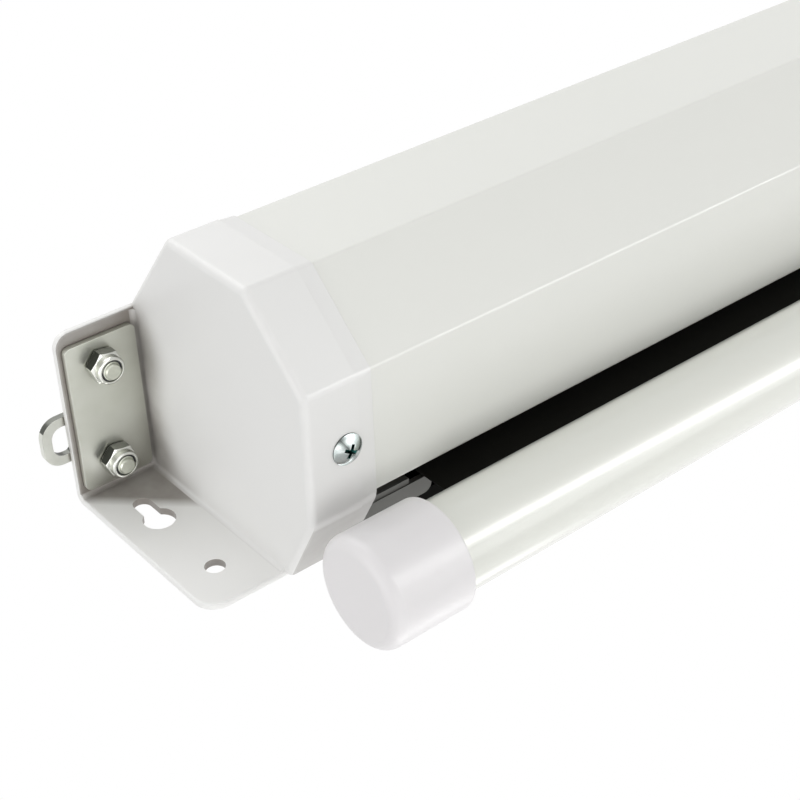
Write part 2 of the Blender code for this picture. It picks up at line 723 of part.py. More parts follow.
def build_insert(end, parent, hollow):
    """Insert in the casing's end: plate, screw post, guide tongue and roller boss."""
    name = "insert_" + end.label
    inset = CAP_STEP + SHEET + GAP
    outline = section_ring(inset, slot_inset=lip_reach() + GAP)
    low, high = end.span(CASING_INSET, INSERT_FACE)
    insert = add_object(name, prism_mesh(name, outline, "X", low, high), WHITE_PLASTIC,
                        (end.x, 0, CEILING), parent)

    root = CASING_INSET + INSERT_PLATE / 2
    half = SCREW_POST_WIDTH / 2
    floor = -SECTION_HEIGHT + inset
    top = floor + SCREW_LENGTH
    post = [(root, -SCREW_FROM_WALL - half), (SCREW_INSET + half, -SCREW_FROM_WALL - half),
            (SCREW_INSET + half, -SCREW_FROM_WALL + half), (root, -SCREW_FROM_WALL + half)]
    join(insert, name + "_post", prism_mesh("post", end.flip(post), "Z", floor, top))
    pilot = end.flip(circle((SCREW_INSET, -SCREW_FROM_WALL), SCREW_SHANK / 2 + GAP, 16))
    cut(insert, name + "_pilot", prism_mesh("pilot", pilot, "Z", floor - MM, top + MM))

    centre = -TONGUE_FROM_WALL
    half = TONGUE_WIDTH / 2
    tip = TONGUE_REACH - half
    tongue = [(root, centre - half)] + arc((tip, centre), half, -90, 90, 10) + [(root, centre + half)]
    low_z = -TONGUE_DROP
    top_z = low_z + TONGUE_THICKNESS
    join(insert, name + "_tongue", prism_mesh("tongue", end.flip(tongue), "Z", low_z, top_z))
    rib_edge = centre - half
    rib = [(root, rib_edge - RIB_WIDTH), (RIB_REACH, rib_edge - RIB_WIDTH),
           (RIB_REACH, rib_edge + MM), (root, rib_edge + MM)]
    rib_top = low_z + RIB_HEIGHT
    rib_low = low_z + 0.2 * TONGUE_THICKNESS
    join(insert, name + "_rib", prism_mesh("rib", end.flip(rib), "Z", rib_low, rib_top))
    web_edge = -(CAP_STEP + REAR_LIP + 2 * GAP)
    web = [(rib_edge - RIB_WIDTH / 2, low_z + TONGUE_THICKNESS / 2),
           (min(centre + half, web_edge) - GAP, low_z + TONGUE_THICKNESS / 2),
           (min(centre + half, web_edge) - GAP, -ROLLER_DROP), (rib_edge - RIB_WIDTH / 2, -ROLLER_DROP)]
    low, high = end.span(CASING_INSET + GAP, INSERT_FACE - GAP)
    join(insert, name + "_web", prism_mesh("web", web, "X", low, high))

    centre = (ROLLER_Y, ROLLER_Z - CEILING)
    if hollow == "round":
        bore = IDLE_PIN_DIAMETER / 2 + GAP + BUSH_WALL + GAP
        hole = circle(centre, bore, 24)
        outer = bore + BOSS_WALL
    else:
        reach_y = TENON_WIDTH / 2 + GAP
        reach_z = TENON_THICKNESS / 2 + GAP
        hole = [(centre[0] - reach_y, centre[1] - reach_z), (centre[0] + reach_y, centre[1] - reach_z),
                (centre[0] + reach_y, centre[1] + reach_z), (centre[0] - reach_y, centre[1] + reach_z)]
        outer = reach_y + BOSS_WALL
    low, high = end.span(root, INSERT_FACE + boss_length(hollow))
    join(insert, name + "_boss", prism_mesh("boss", circle(centre, outer, 32), "X", low, high))
    low, high = end.span(CASING_INSET + SOCKET_FLOOR, INSERT_FACE + boss_length(hollow) + MM)
    cut(insert, name + "_socket", prism_mesh("socket", hole, "X", low, high))
    smooth(insert)


def boss_length(hollow):
    """Length of the roller boss past the insert's plate: the ratchet end leaves room for the pawls."""
    if hollow == "round":
        return BOSS_LENGTH
    return ratchet_face() - GAP - INSERT_FACE


def ratchet_face():
    """Distance from the right end face to the ratchet's outer face."""
    return PLUG_FACE - PAWL_SEAT - RATCHET_WIDTH


def build_roller(carrier, parent):
    """Roller tube with its fabric, plugs, idle pin and spring anchor; origin on the roller's axis."""
    origin = Vector((LEFT_END, ROLLER_Y, ROLLER_Z))
    radius = ROLLER_RADIUS
    low = ROLLER_INSET
    high = HOUSING_LENGTH - ROLLER_INSET
    tube = turned_mesh("roller_tube", [(low, BORE_RADIUS), (low, radius), (high, radius), (high, BORE_RADIUS)], 40)
    smooth(add_object("roller_tube", tube, BRIGHT_STEEL, (-MID_X + LEFT_END, 0, 0), carrier))

    low = FABRIC_INSET
    high = HOUSING_LENGTH - FABRIC_INSET
    core = radius + GAP
    roll = turned_mesh("fabric_roll", [(low, core), (low, ROLL_RADIUS), (high, ROLL_RADIUS), (high, core)], 48)
    smooth(add_object("fabric_roll", roll, BLACK_CLOTH, (-MID_X + LEFT_END, 0, 0), carrier))

    rim = radius + PLUG_RIM
    body = BORE_RADIUS - GAP
    face = PLUG_FACE
    seat = ROLLER_INSET - GAP
    back = ROLLER_INSET + PLUG_LENGTH
    pin = IDLE_PIN_DIAMETER / 2
    profile = [(face, pin + GAP), (face, rim), (seat, rim), (seat, body), (back, body), (back, pin + GAP)]
    plug = turned_mesh("idle_plug", profile, 32)
    smooth(add_object("idle_plug", plug, GREY_PLASTIC, (-MID_X + LEFT_END, 0, 0), carrier))

    tip = CASING_INSET + SOCKET_FLOOR + GAP
    edge = 0.6 * MM
    end = back + IDLE_PIN_PAST_PLUG
    profile = [(tip, 0), (tip, pin - edge), (tip + edge, pin), (end, pin), (end, 0)]
    smooth(add_object("idle_pin", turned_mesh("idle_pin", profile, 24), BRIGHT_STEEL,
                      (-MID_X + LEFT_END, 0, 0), carrier))

    bore = pin + GAP
    outer = bore + BUSH_WALL
    start = tip
    stop = INSERT_FACE + BOSS_LENGTH
    flange = outer + BUSH_FLANGE_RIM
    bush_face = stop + GAP + BUSH_FLANGE_WIDTH
    profile = [(start, bore), (start, outer), (stop + GAP, outer), (stop + GAP, flange),
               (bush_face, flange), (bush_face, bore)]
    bush = turned_mesh("idle_bush", profile, 24)
    smooth(add_object("idle_bush", bush, NYLON, origin, parent))

    shaft = SHAFT_DIAMETER / 2
    base = HOUSING_LENGTH
    profile = [(base - face, shaft + GAP), (base - face, rim), (base - seat, rim), (base - seat, body),
               (base - back, body), (base - back, shaft + GAP)]
    plug = add_object("ratchet_plug", turned_mesh("ratchet_plug", profile, 32), GREY_PLASTIC,
                      (-MID_X + LEFT_END, 0, 0), carrier)
    for label, y, z in pawl_pivots():
        hole = prism_mesh("hole", circle((y, z), PAWL_PIN_DIAMETER / 2 + GAP, 16), "X",
                          base - seat - PAWL_PIN_SEAT, base)
        cut(plug, "ratchet_plug_hole_" + label, hole)
    smooth(plug)

    start = base - (back + SHAFT_PAST_PLUG + SPRING_PITCH * SPRING_COILS)
    spigot = spring_bore()
    profile = [(start, 0), (start, spigot), (start - ANCHOR_SPIGOT, spigot), (start - ANCHOR_SPIGOT, body),
               (start - ANCHOR_SPIGOT - ANCHOR_LENGTH, body), (start - ANCHOR_SPIGOT - ANCHOR_LENGTH, 0)]
    anchor = turned_mesh("spring_anchor", profile, 32)
    smooth(add_object("spring_anchor", anchor, GREY_PLASTIC, (-MID_X + LEFT_END, 0, 0), carrier))


def spring_bore():
    """Radius that clears the inside of the spring, whose path is drawn with straight steps."""
    return SPRING_MEAN_RADIUS * math.cos(math.pi / SPRING_STEPS) - SPRING_WIRE / 2 - GAP


def pawl_pivots():
    """Pivot of each pawl about the roller's axis, as (label, y, z)."""
    seat = RATCHET_RADIUS - RATCHET_STEP + GAP
    return (("upper", PAWL_ARM, seat), ("lower", -PAWL_ARM, -seat))


def build_ratchet(parent):
    """Fixed shaft with a flat tenon, its ratchet disc and the torsion spring on it."""
    origin = Vector((LEFT_END, ROLLER_Y, ROLLER_Z))
    base = HOUSING_LENGTH
    shaft = SHAFT_DIAMETER / 2
    back = ROLLER_INSET + PLUG_LENGTH
    start = ratchet_face()
    end = back + SHAFT_PAST_PLUG
    collar = spring_bore()
    grip = end - ANCHOR_SPIGOT
    profile = [(base - start, 0), (base - start, shaft), (base - grip, shaft), (base - grip, collar),
               (base - end, collar), (base - end, 0)]
    rod = add_object("spade_shaft", turned_mesh("spade_shaft", profile, 28), BRIGHT_STEEL, origin, parent)
    half_w = TENON_WIDTH / 2
    half_t = TENON_THICKNESS / 2
    tenon = [(-half_w, -half_t), (half_w, -half_t), (half_w, half_t), (-half_w, half_t)]
    tip = CASING_INSET + SOCKET_FLOOR + GAP
    join(rod, "spade_tenon", prism_mesh("tenon", tenon, "X", base - start - MM, base - tip))
    smooth(rod)

    disc = circle((0, 0), RATCHET_RADIUS, 40)
    low = base - start - RATCHET_WIDTH
    high = base - start
    plate = add_object("ratchet_disc", prism_mesh("ratchet_disc", disc, "X", low, high), BRIGHT_STEEL,
                       origin, parent)
    depth = RATCHET_RADIUS - RATCHET_STEP
    reach = RATCHET_RADIUS + MM
    for label, turn in (("upper", 1), ("lower", -1)):
        step = [(0, turn * depth), (turn * reach, turn * depth), (turn * reach, turn * reach), (0, turn * reach)]
        cut(plate, "ratchet_step_" + label, prism_mesh("step", step, "X", low - MM, high + MM))
    bore = circle((0, 0), shaft + GAP, 28)
    cut(plate, "ratchet_bore", prism_mesh("bore", bore, "X", low - MM, high + MM))
    smooth(plate)

    points = []
    turns = SPRING_COILS
    per_turn = SPRING_STEPS
    length = SPRING_PITCH * turns
    overlap = ANCHOR_SPIGOT * 0.6
    first = base - end + overlap
    whole = length + 2 * overlap
    for k in range(turns * per_turn + 1):
        angle = 2 * math.pi * k / per_turn
        x = first - whole * k / (turns * per_turn)
        points.append((x, SPRING_MEAN_RADIUS * math.cos(angle), SPRING_MEAN_RADIUS * math.sin(angle)))
    spring = add_object("torsion_spring", tube_mesh("torsion_spring", points, SPRING_WIRE / 2, 5),
                        BRIGHT_STEEL, origin, parent)
    smooth(spring, 70)


def build_pawls(carrier):
    """Two pivoted pawls, drawn lifted clear of the ratchet, and their pins."""
    base = HOUSING_LENGTH
    face = PLUG_FACE
    near = base - face + GAP
    for label, y, z in pawl_pivots():
        turn = 1 if label == "upper" else -1
        name = "pawl_" + label
        nose = PAWL_ARM - GAP
        eye = PAWL_EYE_RADIUS
        outline = [(-nose, 0), (-eye, 0)] + arc((0, 0), eye, 180 + 1, 360 + 90, 12)
        outline += [(-nose * 0.5, PAWL_HEIGHT * 1.05), (-nose, PAWL_HEIGHT)]
        lift = Matrix.Rotation(-math.radians(PAWL_LIFT_DEG), 2)
        shape = []
        for point in outline:
            spot = lift @ Vector(point) * turn
            shape.append((spot.x, spot.y))
        mesh = prism_mesh(name, shape, "X", near, near + PAWL_WIDTH)
        spot = Vector((-MID_X + LEFT_END, y, z))
        pawl = add_object(name, mesh, BRIGHT_STEEL, spot, carrier)
        bore = circle((0, 0), PAWL_PIN_DIAMETER / 2 + GAP, 16)
        cut(pawl, name + "_bore", prism_mesh("bore", bore, "X", near - MM, near + PAWL_WIDTH + MM))
        smooth(pawl)
        pin = PAWL_PIN_DIAMETER / 2
        root = base - ROLLER_INSET + GAP - PAWL_PIN_SEAT + GAP
        top = near + PAWL_WIDTH + GAP
        head = pin + PAWL_PIN_HEAD_RIM
        profile = [(root, 0), (root, pin), (top, pin), (top, head),
                   (top + PAWL_PIN_HEAD, head), (top + PAWL_PIN_HEAD, 0)]
        smooth(add_object("pawl_pin_" + label, turned_mesh("pawl_pin", profile, 16), BRIGHT_STEEL,
                          spot, carrier))


def build_bar(left, right, carrier):
    """Fabric drop, slit bar tube, hem rod and end caps; origin on the bar's axis."""
    half_t = FABRIC_THICKNESS / 2
    top = ROLLER_Z - BAR_Z
    low = BAR_DIAMETER / 2 - HEM_DEPTH
    half_w = FABRIC_WIDTH / 2
    strip = prism_mesh("fabric_drop", [(-half_t, low), (half_t, low), (half_t, top), (-half_t, top)],
                       "X", -half_w, half_w)
    add_object("fabric_drop", strip, BLACK_CLOTH, (0, 0, 0), carrier)

    outer = BAR_DIAMETER / 2
    inner = outer - BAR_WALL
    slit_out = math.degrees(math.asin(BAR_SLIT / 2 / outer))
    slit_in = math.degrees(math.asin(BAR_SLIT / 2 / inner))
    ring = arc((0, 0), outer, 90 + slit_out, 450 - slit_out, 44)
    ring += arc((0, 0), inner, 450 - slit_in, 90 + slit_in, 44)
    reach = HOUSING_LENGTH / 2 + BAR_CAP_OVERHANG - BAR_CAP_END_WALL - GAP
    smooth(add_object("bar_tube", prism_mesh("bar_tube", ring, "X", -reach, reach), WHITE_PAINT, (0, 0, 0), carrier))

    rod = HEM_ROD_DIAMETER / 2
    rod_z = low - GAP - rod
    rod_reach = reach - BAR_CAP_LENGTH
    mesh = prism_mesh("hem_rod", circle((0, rod_z), rod, 16), "X", -rod_reach, rod_reach)
    smooth(add_object("hem_rod", mesh, BRIGHT_STEEL, (0, 0, 0), carrier))

    radius = BAR_CAP_RADIUS
    bore = BAR_DIAMETER / 2 + GAP
    edge = BAR_CAP_RADIUS_EDGE
    for end in (left, right):
        side = -end.sign
        tip = HOUSING_LENGTH / 2 + BAR_CAP_OVERHANG
        floor = tip - BAR_CAP_END_WALL
        rim = tip - BAR_CAP_LENGTH
        profile = [(side * tip, 0)]
        for k in range(5):
            angle = math.radians(90 * k / 4)
            along = tip - edge * (1 - math.sin(math.radians(90) - angle))
            profile.append((side * along, radius - edge * (1 - math.sin(angle))))
        profile += [(side * (rim + MM), radius), (side * rim, radius - 0.8 * MM), (side * rim, bore),
                    (side * floor, bore), (side * floor, 0)]
        name = "bar_cap_" + end.label
        smooth(add_object(name, turned_mesh(name, profile, 32), WHITE_PLASTIC, (0, 0, 0), carrier))


def build_handle(carrier):
    """Clip round the bar with two ears, its screws and a swinging bail."""
    inner = BAR_DIAMETER / 2 + GAP
    outer = inner + SADDLE_WALL
    half = SADDLE_LENGTH / 2
    gap = SADDLE_OPENING_DEG / 2
    ring = arc((0, 0), outer, 90 + gap, 450 - gap, 32) + arc((0, 0), inner, 450 - gap, 90 + gap, 32)
    saddle = add_object("handle_saddle", prism_mesh("handle_saddle", ring, "X", -half, half), GREY_PLASTIC,
                        (0, 0, 0), carrier)
    eye_z = -(outer + BAIL_EYE_DROP - EAR_WIDTH / 2)
    ear = arc((0, eye_z), EAR_WIDTH / 2, 180, 360, 12)
    ear += [(EAR_WIDTH / 2, -inner - SADDLE_WALL / 2), (-EAR_WIDTH / 2, -inner - SADDLE_WALL / 2)]
    pivot = BAIL_ROD / 2 + GAP
    for label, side in (("left", -1), ("right", 1)):
        low, high = sorted((side * half, side * (half - EAR_THICKNESS)))
        join(saddle, "handle_ear_" + label, prism_mesh("ear", ear, "X", low, high))
        hole = circle((0, eye_z), pivot, 20)
        cut(saddle, "handle_ear_hole_" + label, prism_mesh("hole", hole, "X", low - MM, high + MM))
        screw_x = side * (half - EAR_THICKNESS - SCREW_HEAD_DIAMETER / 2)
        shank = circle((screw_x, 0), SCREW_SHANK / 2 + GAP, 16)
        cut(saddle, "handle_screw_hole_" + label, prism_mesh("hole", shank, "Y", -outer - MM, 0))
        tube_hole = prism_mesh("hole", shank, "Y", -outer - MM, 0)
        cut(bpy.data.objects["bar_tube"], "bar_screw_hole_" + label, tube_hole)
        name = "handle_screw_" + label
        head = SCREW_HEAD_DIAMETER / 2 * HANDLE_SCREW_SCALE
        rise = SCREW_HEAD_HEIGHT * HANDLE_SCREW_SCALE
        mesh = pan_screw_mesh(name, "Y", head, rise, SCREW_SHANK / 2, HANDLE_SCREW_LENGTH, -1)
        screw = add_object(name, mesh, BRIGHT_STEEL, (screw_x, -outer - GAP, 0), carrier)
        cross_recess(screw, "Y", head, rise, -1)
        smooth(screw)
    smooth(saddle)

    pivot_frame = frame("bail_frame", (0, 0, eye_z), carrier)
    wide = half + GAP + BAIL_ROD
    bend = BAIL_BEND_RADIUS
    small = BAIL_ROD
    route = [(-half + EAR_THICKNESS, 0), (-wide, 0), (-wide, -BAIL_DEPTH), (wide, -BAIL_DEPTH), (wide, 0),
             (half - EAR_THICKNESS, 0)]
    path = rounded(route, [0, small, bend, bend, small, 0], 5, False)
    points = [(x, 0, z) for x, z in path]
    bail = add_object("handle_bail", tube_mesh("handle_bail", points, BAIL_ROD / 2, 12), BRIGHT_STEEL,
                      (0, 0, 0), pivot_frame)
    smooth(bail, 50)


def main():
    """Build the whole screen, rolled up and hanging on its wall flanges."""
    clear_scene()
    left = End("left", 1, LEFT_END)
    right = End("right", -1, RIGHT_END)
    housing = frame("housing_frame", (0, 0, 0))
    roller = frame("roller_frame", (MID_X, ROLLER_Y, ROLLER_Z), housing)
    bar = frame("bar_frame", (MID_X, FABRIC_Y, BAR_Z), housing)
    build_casing(housing)
    for end in (left, right):
        build_cap(end, housing)
        build_hanger(end, housing)
        build_cap_screw(end, housing)
    build_insert(left, housing, "round")
    build_insert(right, housing, "flat")
    build_roller(roller, housing)
    build_ratchet(housing)
    build_pawls(roller)
    build_bar(left, right, bar)
    build_handle(bar)


main()
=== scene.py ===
"""Looks of a pull-down projector screen, rolled up in its faceted housing.

Lengths are in metres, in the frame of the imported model: +X along the housing, -Y away from the wall, +Z up.
"""

import logging
import math
from collections.abc import Callable, Iterable, Sequence
from dataclasses import dataclass, replace
from enum import Enum

import bmesh
import bpy
from bmesh.types import BMEdge, BMesh, BMFace, BMLayerItem, BMVert
from bpy.types import Material, Node, NodeSocket, NodeTree, Object
from mathutils import Matrix, Vector
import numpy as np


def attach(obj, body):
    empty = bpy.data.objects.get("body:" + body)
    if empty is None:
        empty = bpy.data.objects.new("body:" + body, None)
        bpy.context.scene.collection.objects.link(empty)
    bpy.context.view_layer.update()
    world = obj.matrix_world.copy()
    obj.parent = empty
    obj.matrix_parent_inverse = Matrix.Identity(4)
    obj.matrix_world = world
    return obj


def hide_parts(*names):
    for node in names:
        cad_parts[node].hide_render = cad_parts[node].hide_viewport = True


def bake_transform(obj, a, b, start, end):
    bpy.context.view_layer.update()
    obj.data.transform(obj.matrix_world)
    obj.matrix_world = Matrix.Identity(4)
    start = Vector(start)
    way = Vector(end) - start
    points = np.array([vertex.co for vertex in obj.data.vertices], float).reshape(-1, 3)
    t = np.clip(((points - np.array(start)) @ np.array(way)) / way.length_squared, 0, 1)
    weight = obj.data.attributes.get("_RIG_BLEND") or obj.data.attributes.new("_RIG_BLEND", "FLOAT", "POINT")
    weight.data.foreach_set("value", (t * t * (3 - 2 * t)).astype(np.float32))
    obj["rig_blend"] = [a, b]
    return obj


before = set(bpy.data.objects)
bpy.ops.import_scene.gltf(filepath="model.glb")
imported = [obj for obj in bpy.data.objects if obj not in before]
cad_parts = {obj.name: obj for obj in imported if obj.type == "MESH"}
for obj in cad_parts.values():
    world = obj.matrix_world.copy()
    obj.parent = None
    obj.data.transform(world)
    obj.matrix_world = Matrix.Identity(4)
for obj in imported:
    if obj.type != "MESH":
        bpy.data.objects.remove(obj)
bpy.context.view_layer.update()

LOG = logging.getLogger("projector_screen")

MM = 0.001
WELD = 0.002 * MM
LEFT_END = 11.7 * MM
RIGHT_END = 1866.7 * MM
MID_X = (LEFT_END + RIGHT_END) / 2
CEILING = 35 * MM
FABRIC_Y = -15.45 * MM
BAR_Z = -55.85 * MM
HOLE_INSET = 11.7 * MM
FULL_TURN = 2 * math.pi
# Share of a half width that a full round takes: short of 1, so that its two arcs keep apart.
FULL_ROUND = 0.998
HAIR = 0.02 * MM

Colour = tuple[float, float, float]
Triple = tuple[float, float, float]
Point = tuple[float, float]
SocketValue = NodeSocket | float | Sequence[float]


class Body(Enum):
    """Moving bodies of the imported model."""

    HOUSING = "housing"
    ROLLER = "roller"
    WEIGHT_BAR = "weight_bar"
    BAIL = "bail"


class Axis(Enum):
    """Axis that a shape is drawn along or turned about."""

    X = "X"
    Y = "Y"
    Z = "Z"

    def point(self, along: float, a: float, b: float) -> Vector:
        """Point at a distance along the axis and at two coordinates square to it."""
        places = {Axis.X: (along, a, b), Axis.Y: (a, along, b), Axis.Z: (a, b, along)}
        return Vector(places[self])


class Side(Enum):
    """End of the housing; its pieces are drawn with x running inwards from the cap's end face."""

    LEFT = "left"
    RIGHT = "right"

    @property
    def sign(self) -> int:
        """1 where inwards is +X and -1 where it is -X."""
        return 1 if self is Side.LEFT else -1

    @property
    def matrix(self) -> Matrix:
        """From the end's own coordinates, z measured from the ceiling, to the model's frame."""
        origin = Vector((LEFT_END if self is Side.LEFT else RIGHT_END, 0, CEILING))
        return Matrix.Translation(origin) @ Matrix.Diagonal((self.sign, 1, 1, 1))


class Join(Enum):
    """How one solid is combined with another."""

    ADD = "UNION"
    CUT = "DIFFERENCE"
    KEEP_COMMON = "INTERSECT"


class Mark(Enum):
    """Values on a mesh's faces that the finishes read."""

    EDGE = "edge"
    # Painted shade: how strongly a face is darkened towards the finish's shade colour.
    PAINTED_SHADE = "soil"
    # Painted reflection and shade: how dark a metal face is painted.
    PAINTED_REFLECTION_AND_SHADE = "tone"


# ---------------------------------------------------------------- mesh tools


def fresh() -> BMesh:
    """An empty bmesh with the face layer that marks softened edges."""
    bm = bmesh.new()
    layer_of(bm, Mark.EDGE)
    return bm


def layer_of(bm: BMesh, mark: Mark) -> BMLayerItem:
    """The face layer of a mark, made where the mesh hasn't got it."""
    layers = bm.faces.layers.float
    return layers.get(mark.value) or layers.new(mark.value)


def outline(bm: BMesh, points: Iterable[Sequence[float]]) -> BMFace:
    """One face through a few corner points."""
    return bm.faces.new([bm.verts.new(point) for point in points])


def round_corners(bm: BMesh, radii: Sequence[float], segments: int = 6) -> None:
    """Round the corners of a flat outline.

    Args:
        bm: Mesh that holds nothing but the outline.
        radii: Radius of each corner, in the order of the vertices; 0 keeps a corner.
        segments: Steps of each arc.
    """
    for vert, radius in zip(list(bm.verts), radii):
        if radius <= 0:
            continue
        arms = [edge.other_vert(vert).co - vert.co for edge in vert.link_edges]
        turn = math.pi - arms[0].angle(arms[1])
        bmesh.ops.bevel(bm, geom=[vert], offset=radius * math.tan(turn / 2), offset_type="OFFSET",
                        affect="VERTICES", segments=segments, profile=0.5, material=-1)


def pull(bm: BMesh, faces: Sequence[BMFace], offset: Vector) -> list[BMFace]:
    """Extrude faces by an offset and return the moved faces."""
    grown = bmesh.ops.extrude_face_region(bm, geom=list(faces))["geom"]
    bmesh.ops.translate(bm, vec=offset, verts=[item for item in grown if isinstance(item, BMVert)])
    return [item for item in grown if isinstance(item, BMFace)]


def corners_of(bm: BMesh, least_deg: float = 50,
               test: Callable[[Vector], bool] | None = None) -> list[BMEdge]:
    """Edges where two faces meet at an angle.

    Args:
        bm: Mesh to search.
        least_deg: Smallest turn between the two faces.
        test: Says whether an edge at this midpoint counts.

    Returns:
        The edges found.
    """
    least = math.radians(least_deg)
    found = [edge for edge in bm.edges if len(edge.link_faces) == 2 and edge.calc_face_angle(0) > least]
    if test is None:
        return found
    return [edge for edge in found if test((edge.verts[0].co + edge.verts[1].co) / 2)]


def soften(bm: BMesh, edges: Sequence[BMEdge], width: float, segments: int = 3) -> None:
    """Round off edges and mark the new faces, so that a finish can show edge wear there, and on the eye painted edge
    shade.
    """
    made = bmesh.ops.bevel(bm, geom=list(edges), offset=width, offset_type="OFFSET", affect="EDGES",
                           segments=segments, profile=0.5, material=-1, clamp_overlap=True)
    layer = layer_of(bm, Mark.EDGE)
    for face in made["faces"]:
        face[layer] = 1.0


def slab(points: Sequence[Point], radii: Sequence[float], axis: Axis, low: float, high: float,
         segments: int = 6) -> BMesh:
    """Plate or bar drawn as an outline and extruded.

    Args:
        points: Corners square to the axis.
        radii: Radius of each corner.
        axis: Direction of the extrusion.
        low: Start along the axis.
        high: End along the axis.
        segments: Steps of each rounded corner.

    Returns:
        A bmesh with the closed solid.
    """
    bm = fresh()
    outline(bm, [axis.point(low, a, b) for a, b in points])
    round_corners(bm, radii, segments)
    pull(bm, list(bm.faces), axis.point(high - low, 0, 0))
    tidy(bm)
    return bm


def turned(profile: Sequence[Point], radii: Sequence[float], axis: Axis, steps: int = 64,
           segments: int = 6, angle: float = FULL_TURN) -> BMesh:
    """Solid turned about an axis.

    Args:
        profile: Closed profile as (along, radius) points.
        radii: Radius of each of the profile's corners.
        axis: Axis of the turning.
        steps: Steps round the axis.
        segments: Steps of each rounded corner.
        angle: Angle of the turning; less than a full turn leaves two flat ends.

    Returns:
        A bmesh with the closed solid.
    """
    bm = fresh()
    outline(bm, [axis.point(along, radius, 0) for along, radius in profile])
    round_corners(bm, radii, segments)
    full = angle >= FULL_TURN
    if full:
        bmesh.ops.delete(bm, geom=list(bm.faces), context="FACES_ONLY")
        centre = [edge for edge in bm.edges if all(off_axis(vert.co, axis) < WELD for vert in edge.verts)]
        bmesh.ops.delete(bm, geom=centre, context="EDGES")
    geom = list(bm.verts) + list(bm.edges) + list(bm.faces)
    bmesh.ops.spin(bm, geom=geom, cent=(0, 0, 0), axis=axis.point(1, 0, 0), angle=angle, steps=steps,
                   use_merge=full)
    tidy(bm)
    return bm


def slit_tube(half_length: float, inner: float, outer: float, half_gap: float, steps: int) -> BMesh:
    """Tube along x whose wall is open along its top.

    Args:
        half_length: Half of the tube's length.
        inner: Inner radius.
        outer: Outer radius.
        half_gap: Half of the angle that is open.
        steps: Steps round the axis.

    Returns:
        A bmesh with the closed solid.
    """
    bm = turned([(-half_length, inner), (-half_length, outer), (half_length, outer), (half_length, inner)],
                [0] * 4, Axis.X, steps, angle=FULL_TURN - 2 * half_gap)
    bmesh.ops.rotate(bm, cent=(0, 0, 0), matrix=Matrix.Rotation(math.pi / 2 + half_gap, 3, "X"), verts=bm.verts)
    return bm


def cylinder(radius: float, length: float, matrix: Matrix, segments: int) -> BMesh:
    """Plain cylinder that a matrix takes from the origin, with its axis on z, to its place."""
    bm = fresh()
    bmesh.ops.create_cone(bm, cap_ends=True, segments=segments, radius1=radius, radius2=radius, depth=length,
                          matrix=matrix)
    bmesh.ops.recalc_face_normals(bm, faces=bm.faces)
    return bm


def ribbon(path: Iterable[Point], start: float, length: float) -> BMesh:
    """Sheet without thickness that runs along x.

    Args:
        path: Its cross-section as (y, z) points.
        start: Where it starts along x.
        length: How far it runs along x.

    Returns:
        A bmesh with the open sheet.
    """
    bm = fresh()
    verts = [bm.verts.new((start, y, z)) for y, z in path]
    edges = [bm.edges.new(pair) for pair in zip(verts, verts[1:])]
    grown = bmesh.ops.extrude_edge_only(bm, edges=edges)["geom"]
    bmesh.ops.translate(bm, vec=(length, 0, 0), verts=[item for item in grown if isinstance(item, BMVert)])
    return bm


def off_axis(point: Vector, axis: Axis) -> float:
    """Distance of a point from an axis through the origin."""
    return point.cross(axis.point(1, 0, 0)).length


def tidy(bm: BMesh) -> None:
    """Merge doubles, drop loose edges and turn the faces outwards."""
    bmesh.ops.remove_doubles(bm, verts=bm.verts, dist=WELD)
    loose = [edge for edge in bm.edges if not edge.link_faces]
    bmesh.ops.delete(bm, geom=loose, context="EDGES")
    bmesh.ops.recalc_face_normals(bm, faces=bm.faces)


def as_object(name: str, bm: BMesh) -> Object:
    """Turn a bmesh into an object of the scene and free it."""
    mesh = bpy.data.meshes.new(name)
    bm.to_mesh(mesh)
    bm.free()
    piece = bpy.data.objects.new(name, mesh)
    bpy.context.scene.collection.objects.link(piece)
    return piece


def combine(piece: Object, tool: BMesh, how: Join) -> None:
    """Combine a piece with another solid and keep only the result."""
    other = as_object("tool", tool)
    modifier = piece.modifiers.new("combine", "BOOLEAN")
    modifier.operation = how.value
    modifier.solver = "MANIFOLD"
    modifier.object = other
    graph = bpy.context.evaluated_depsgraph_get()
    mesh = bpy.data.meshes.new_from_object(piece.evaluated_get(graph))
    piece.modifiers.clear()
    old = piece.data
    piece.data = mesh
    mesh.name = piece.name
    bpy.data.meshes.remove(old)
    data = other.data
    bpy.data.objects.remove(other)
    bpy.data.meshes.remove(data)


def rework(piece: Object, change: Callable[[BMesh], None]) -> None:
    """Open a piece's mesh as a bmesh, change it and write it back."""
    bm = bmesh.new()
    bm.from_mesh(piece.data)
    layer_of(bm, Mark.EDGE)
    bmesh.ops.remove_doubles(bm, verts=bm.verts, dist=WELD)
    change(bm)
    bm.to_mesh(piece.data)
    bm.free()


def place(piece: Object, matrix: Matrix) -> None:
    """Move a piece's mesh into the model's frame, its faces kept outwards."""
    piece.data.transform(matrix)
    if matrix.determinant() < 0:
        piece.data.flip_normals()


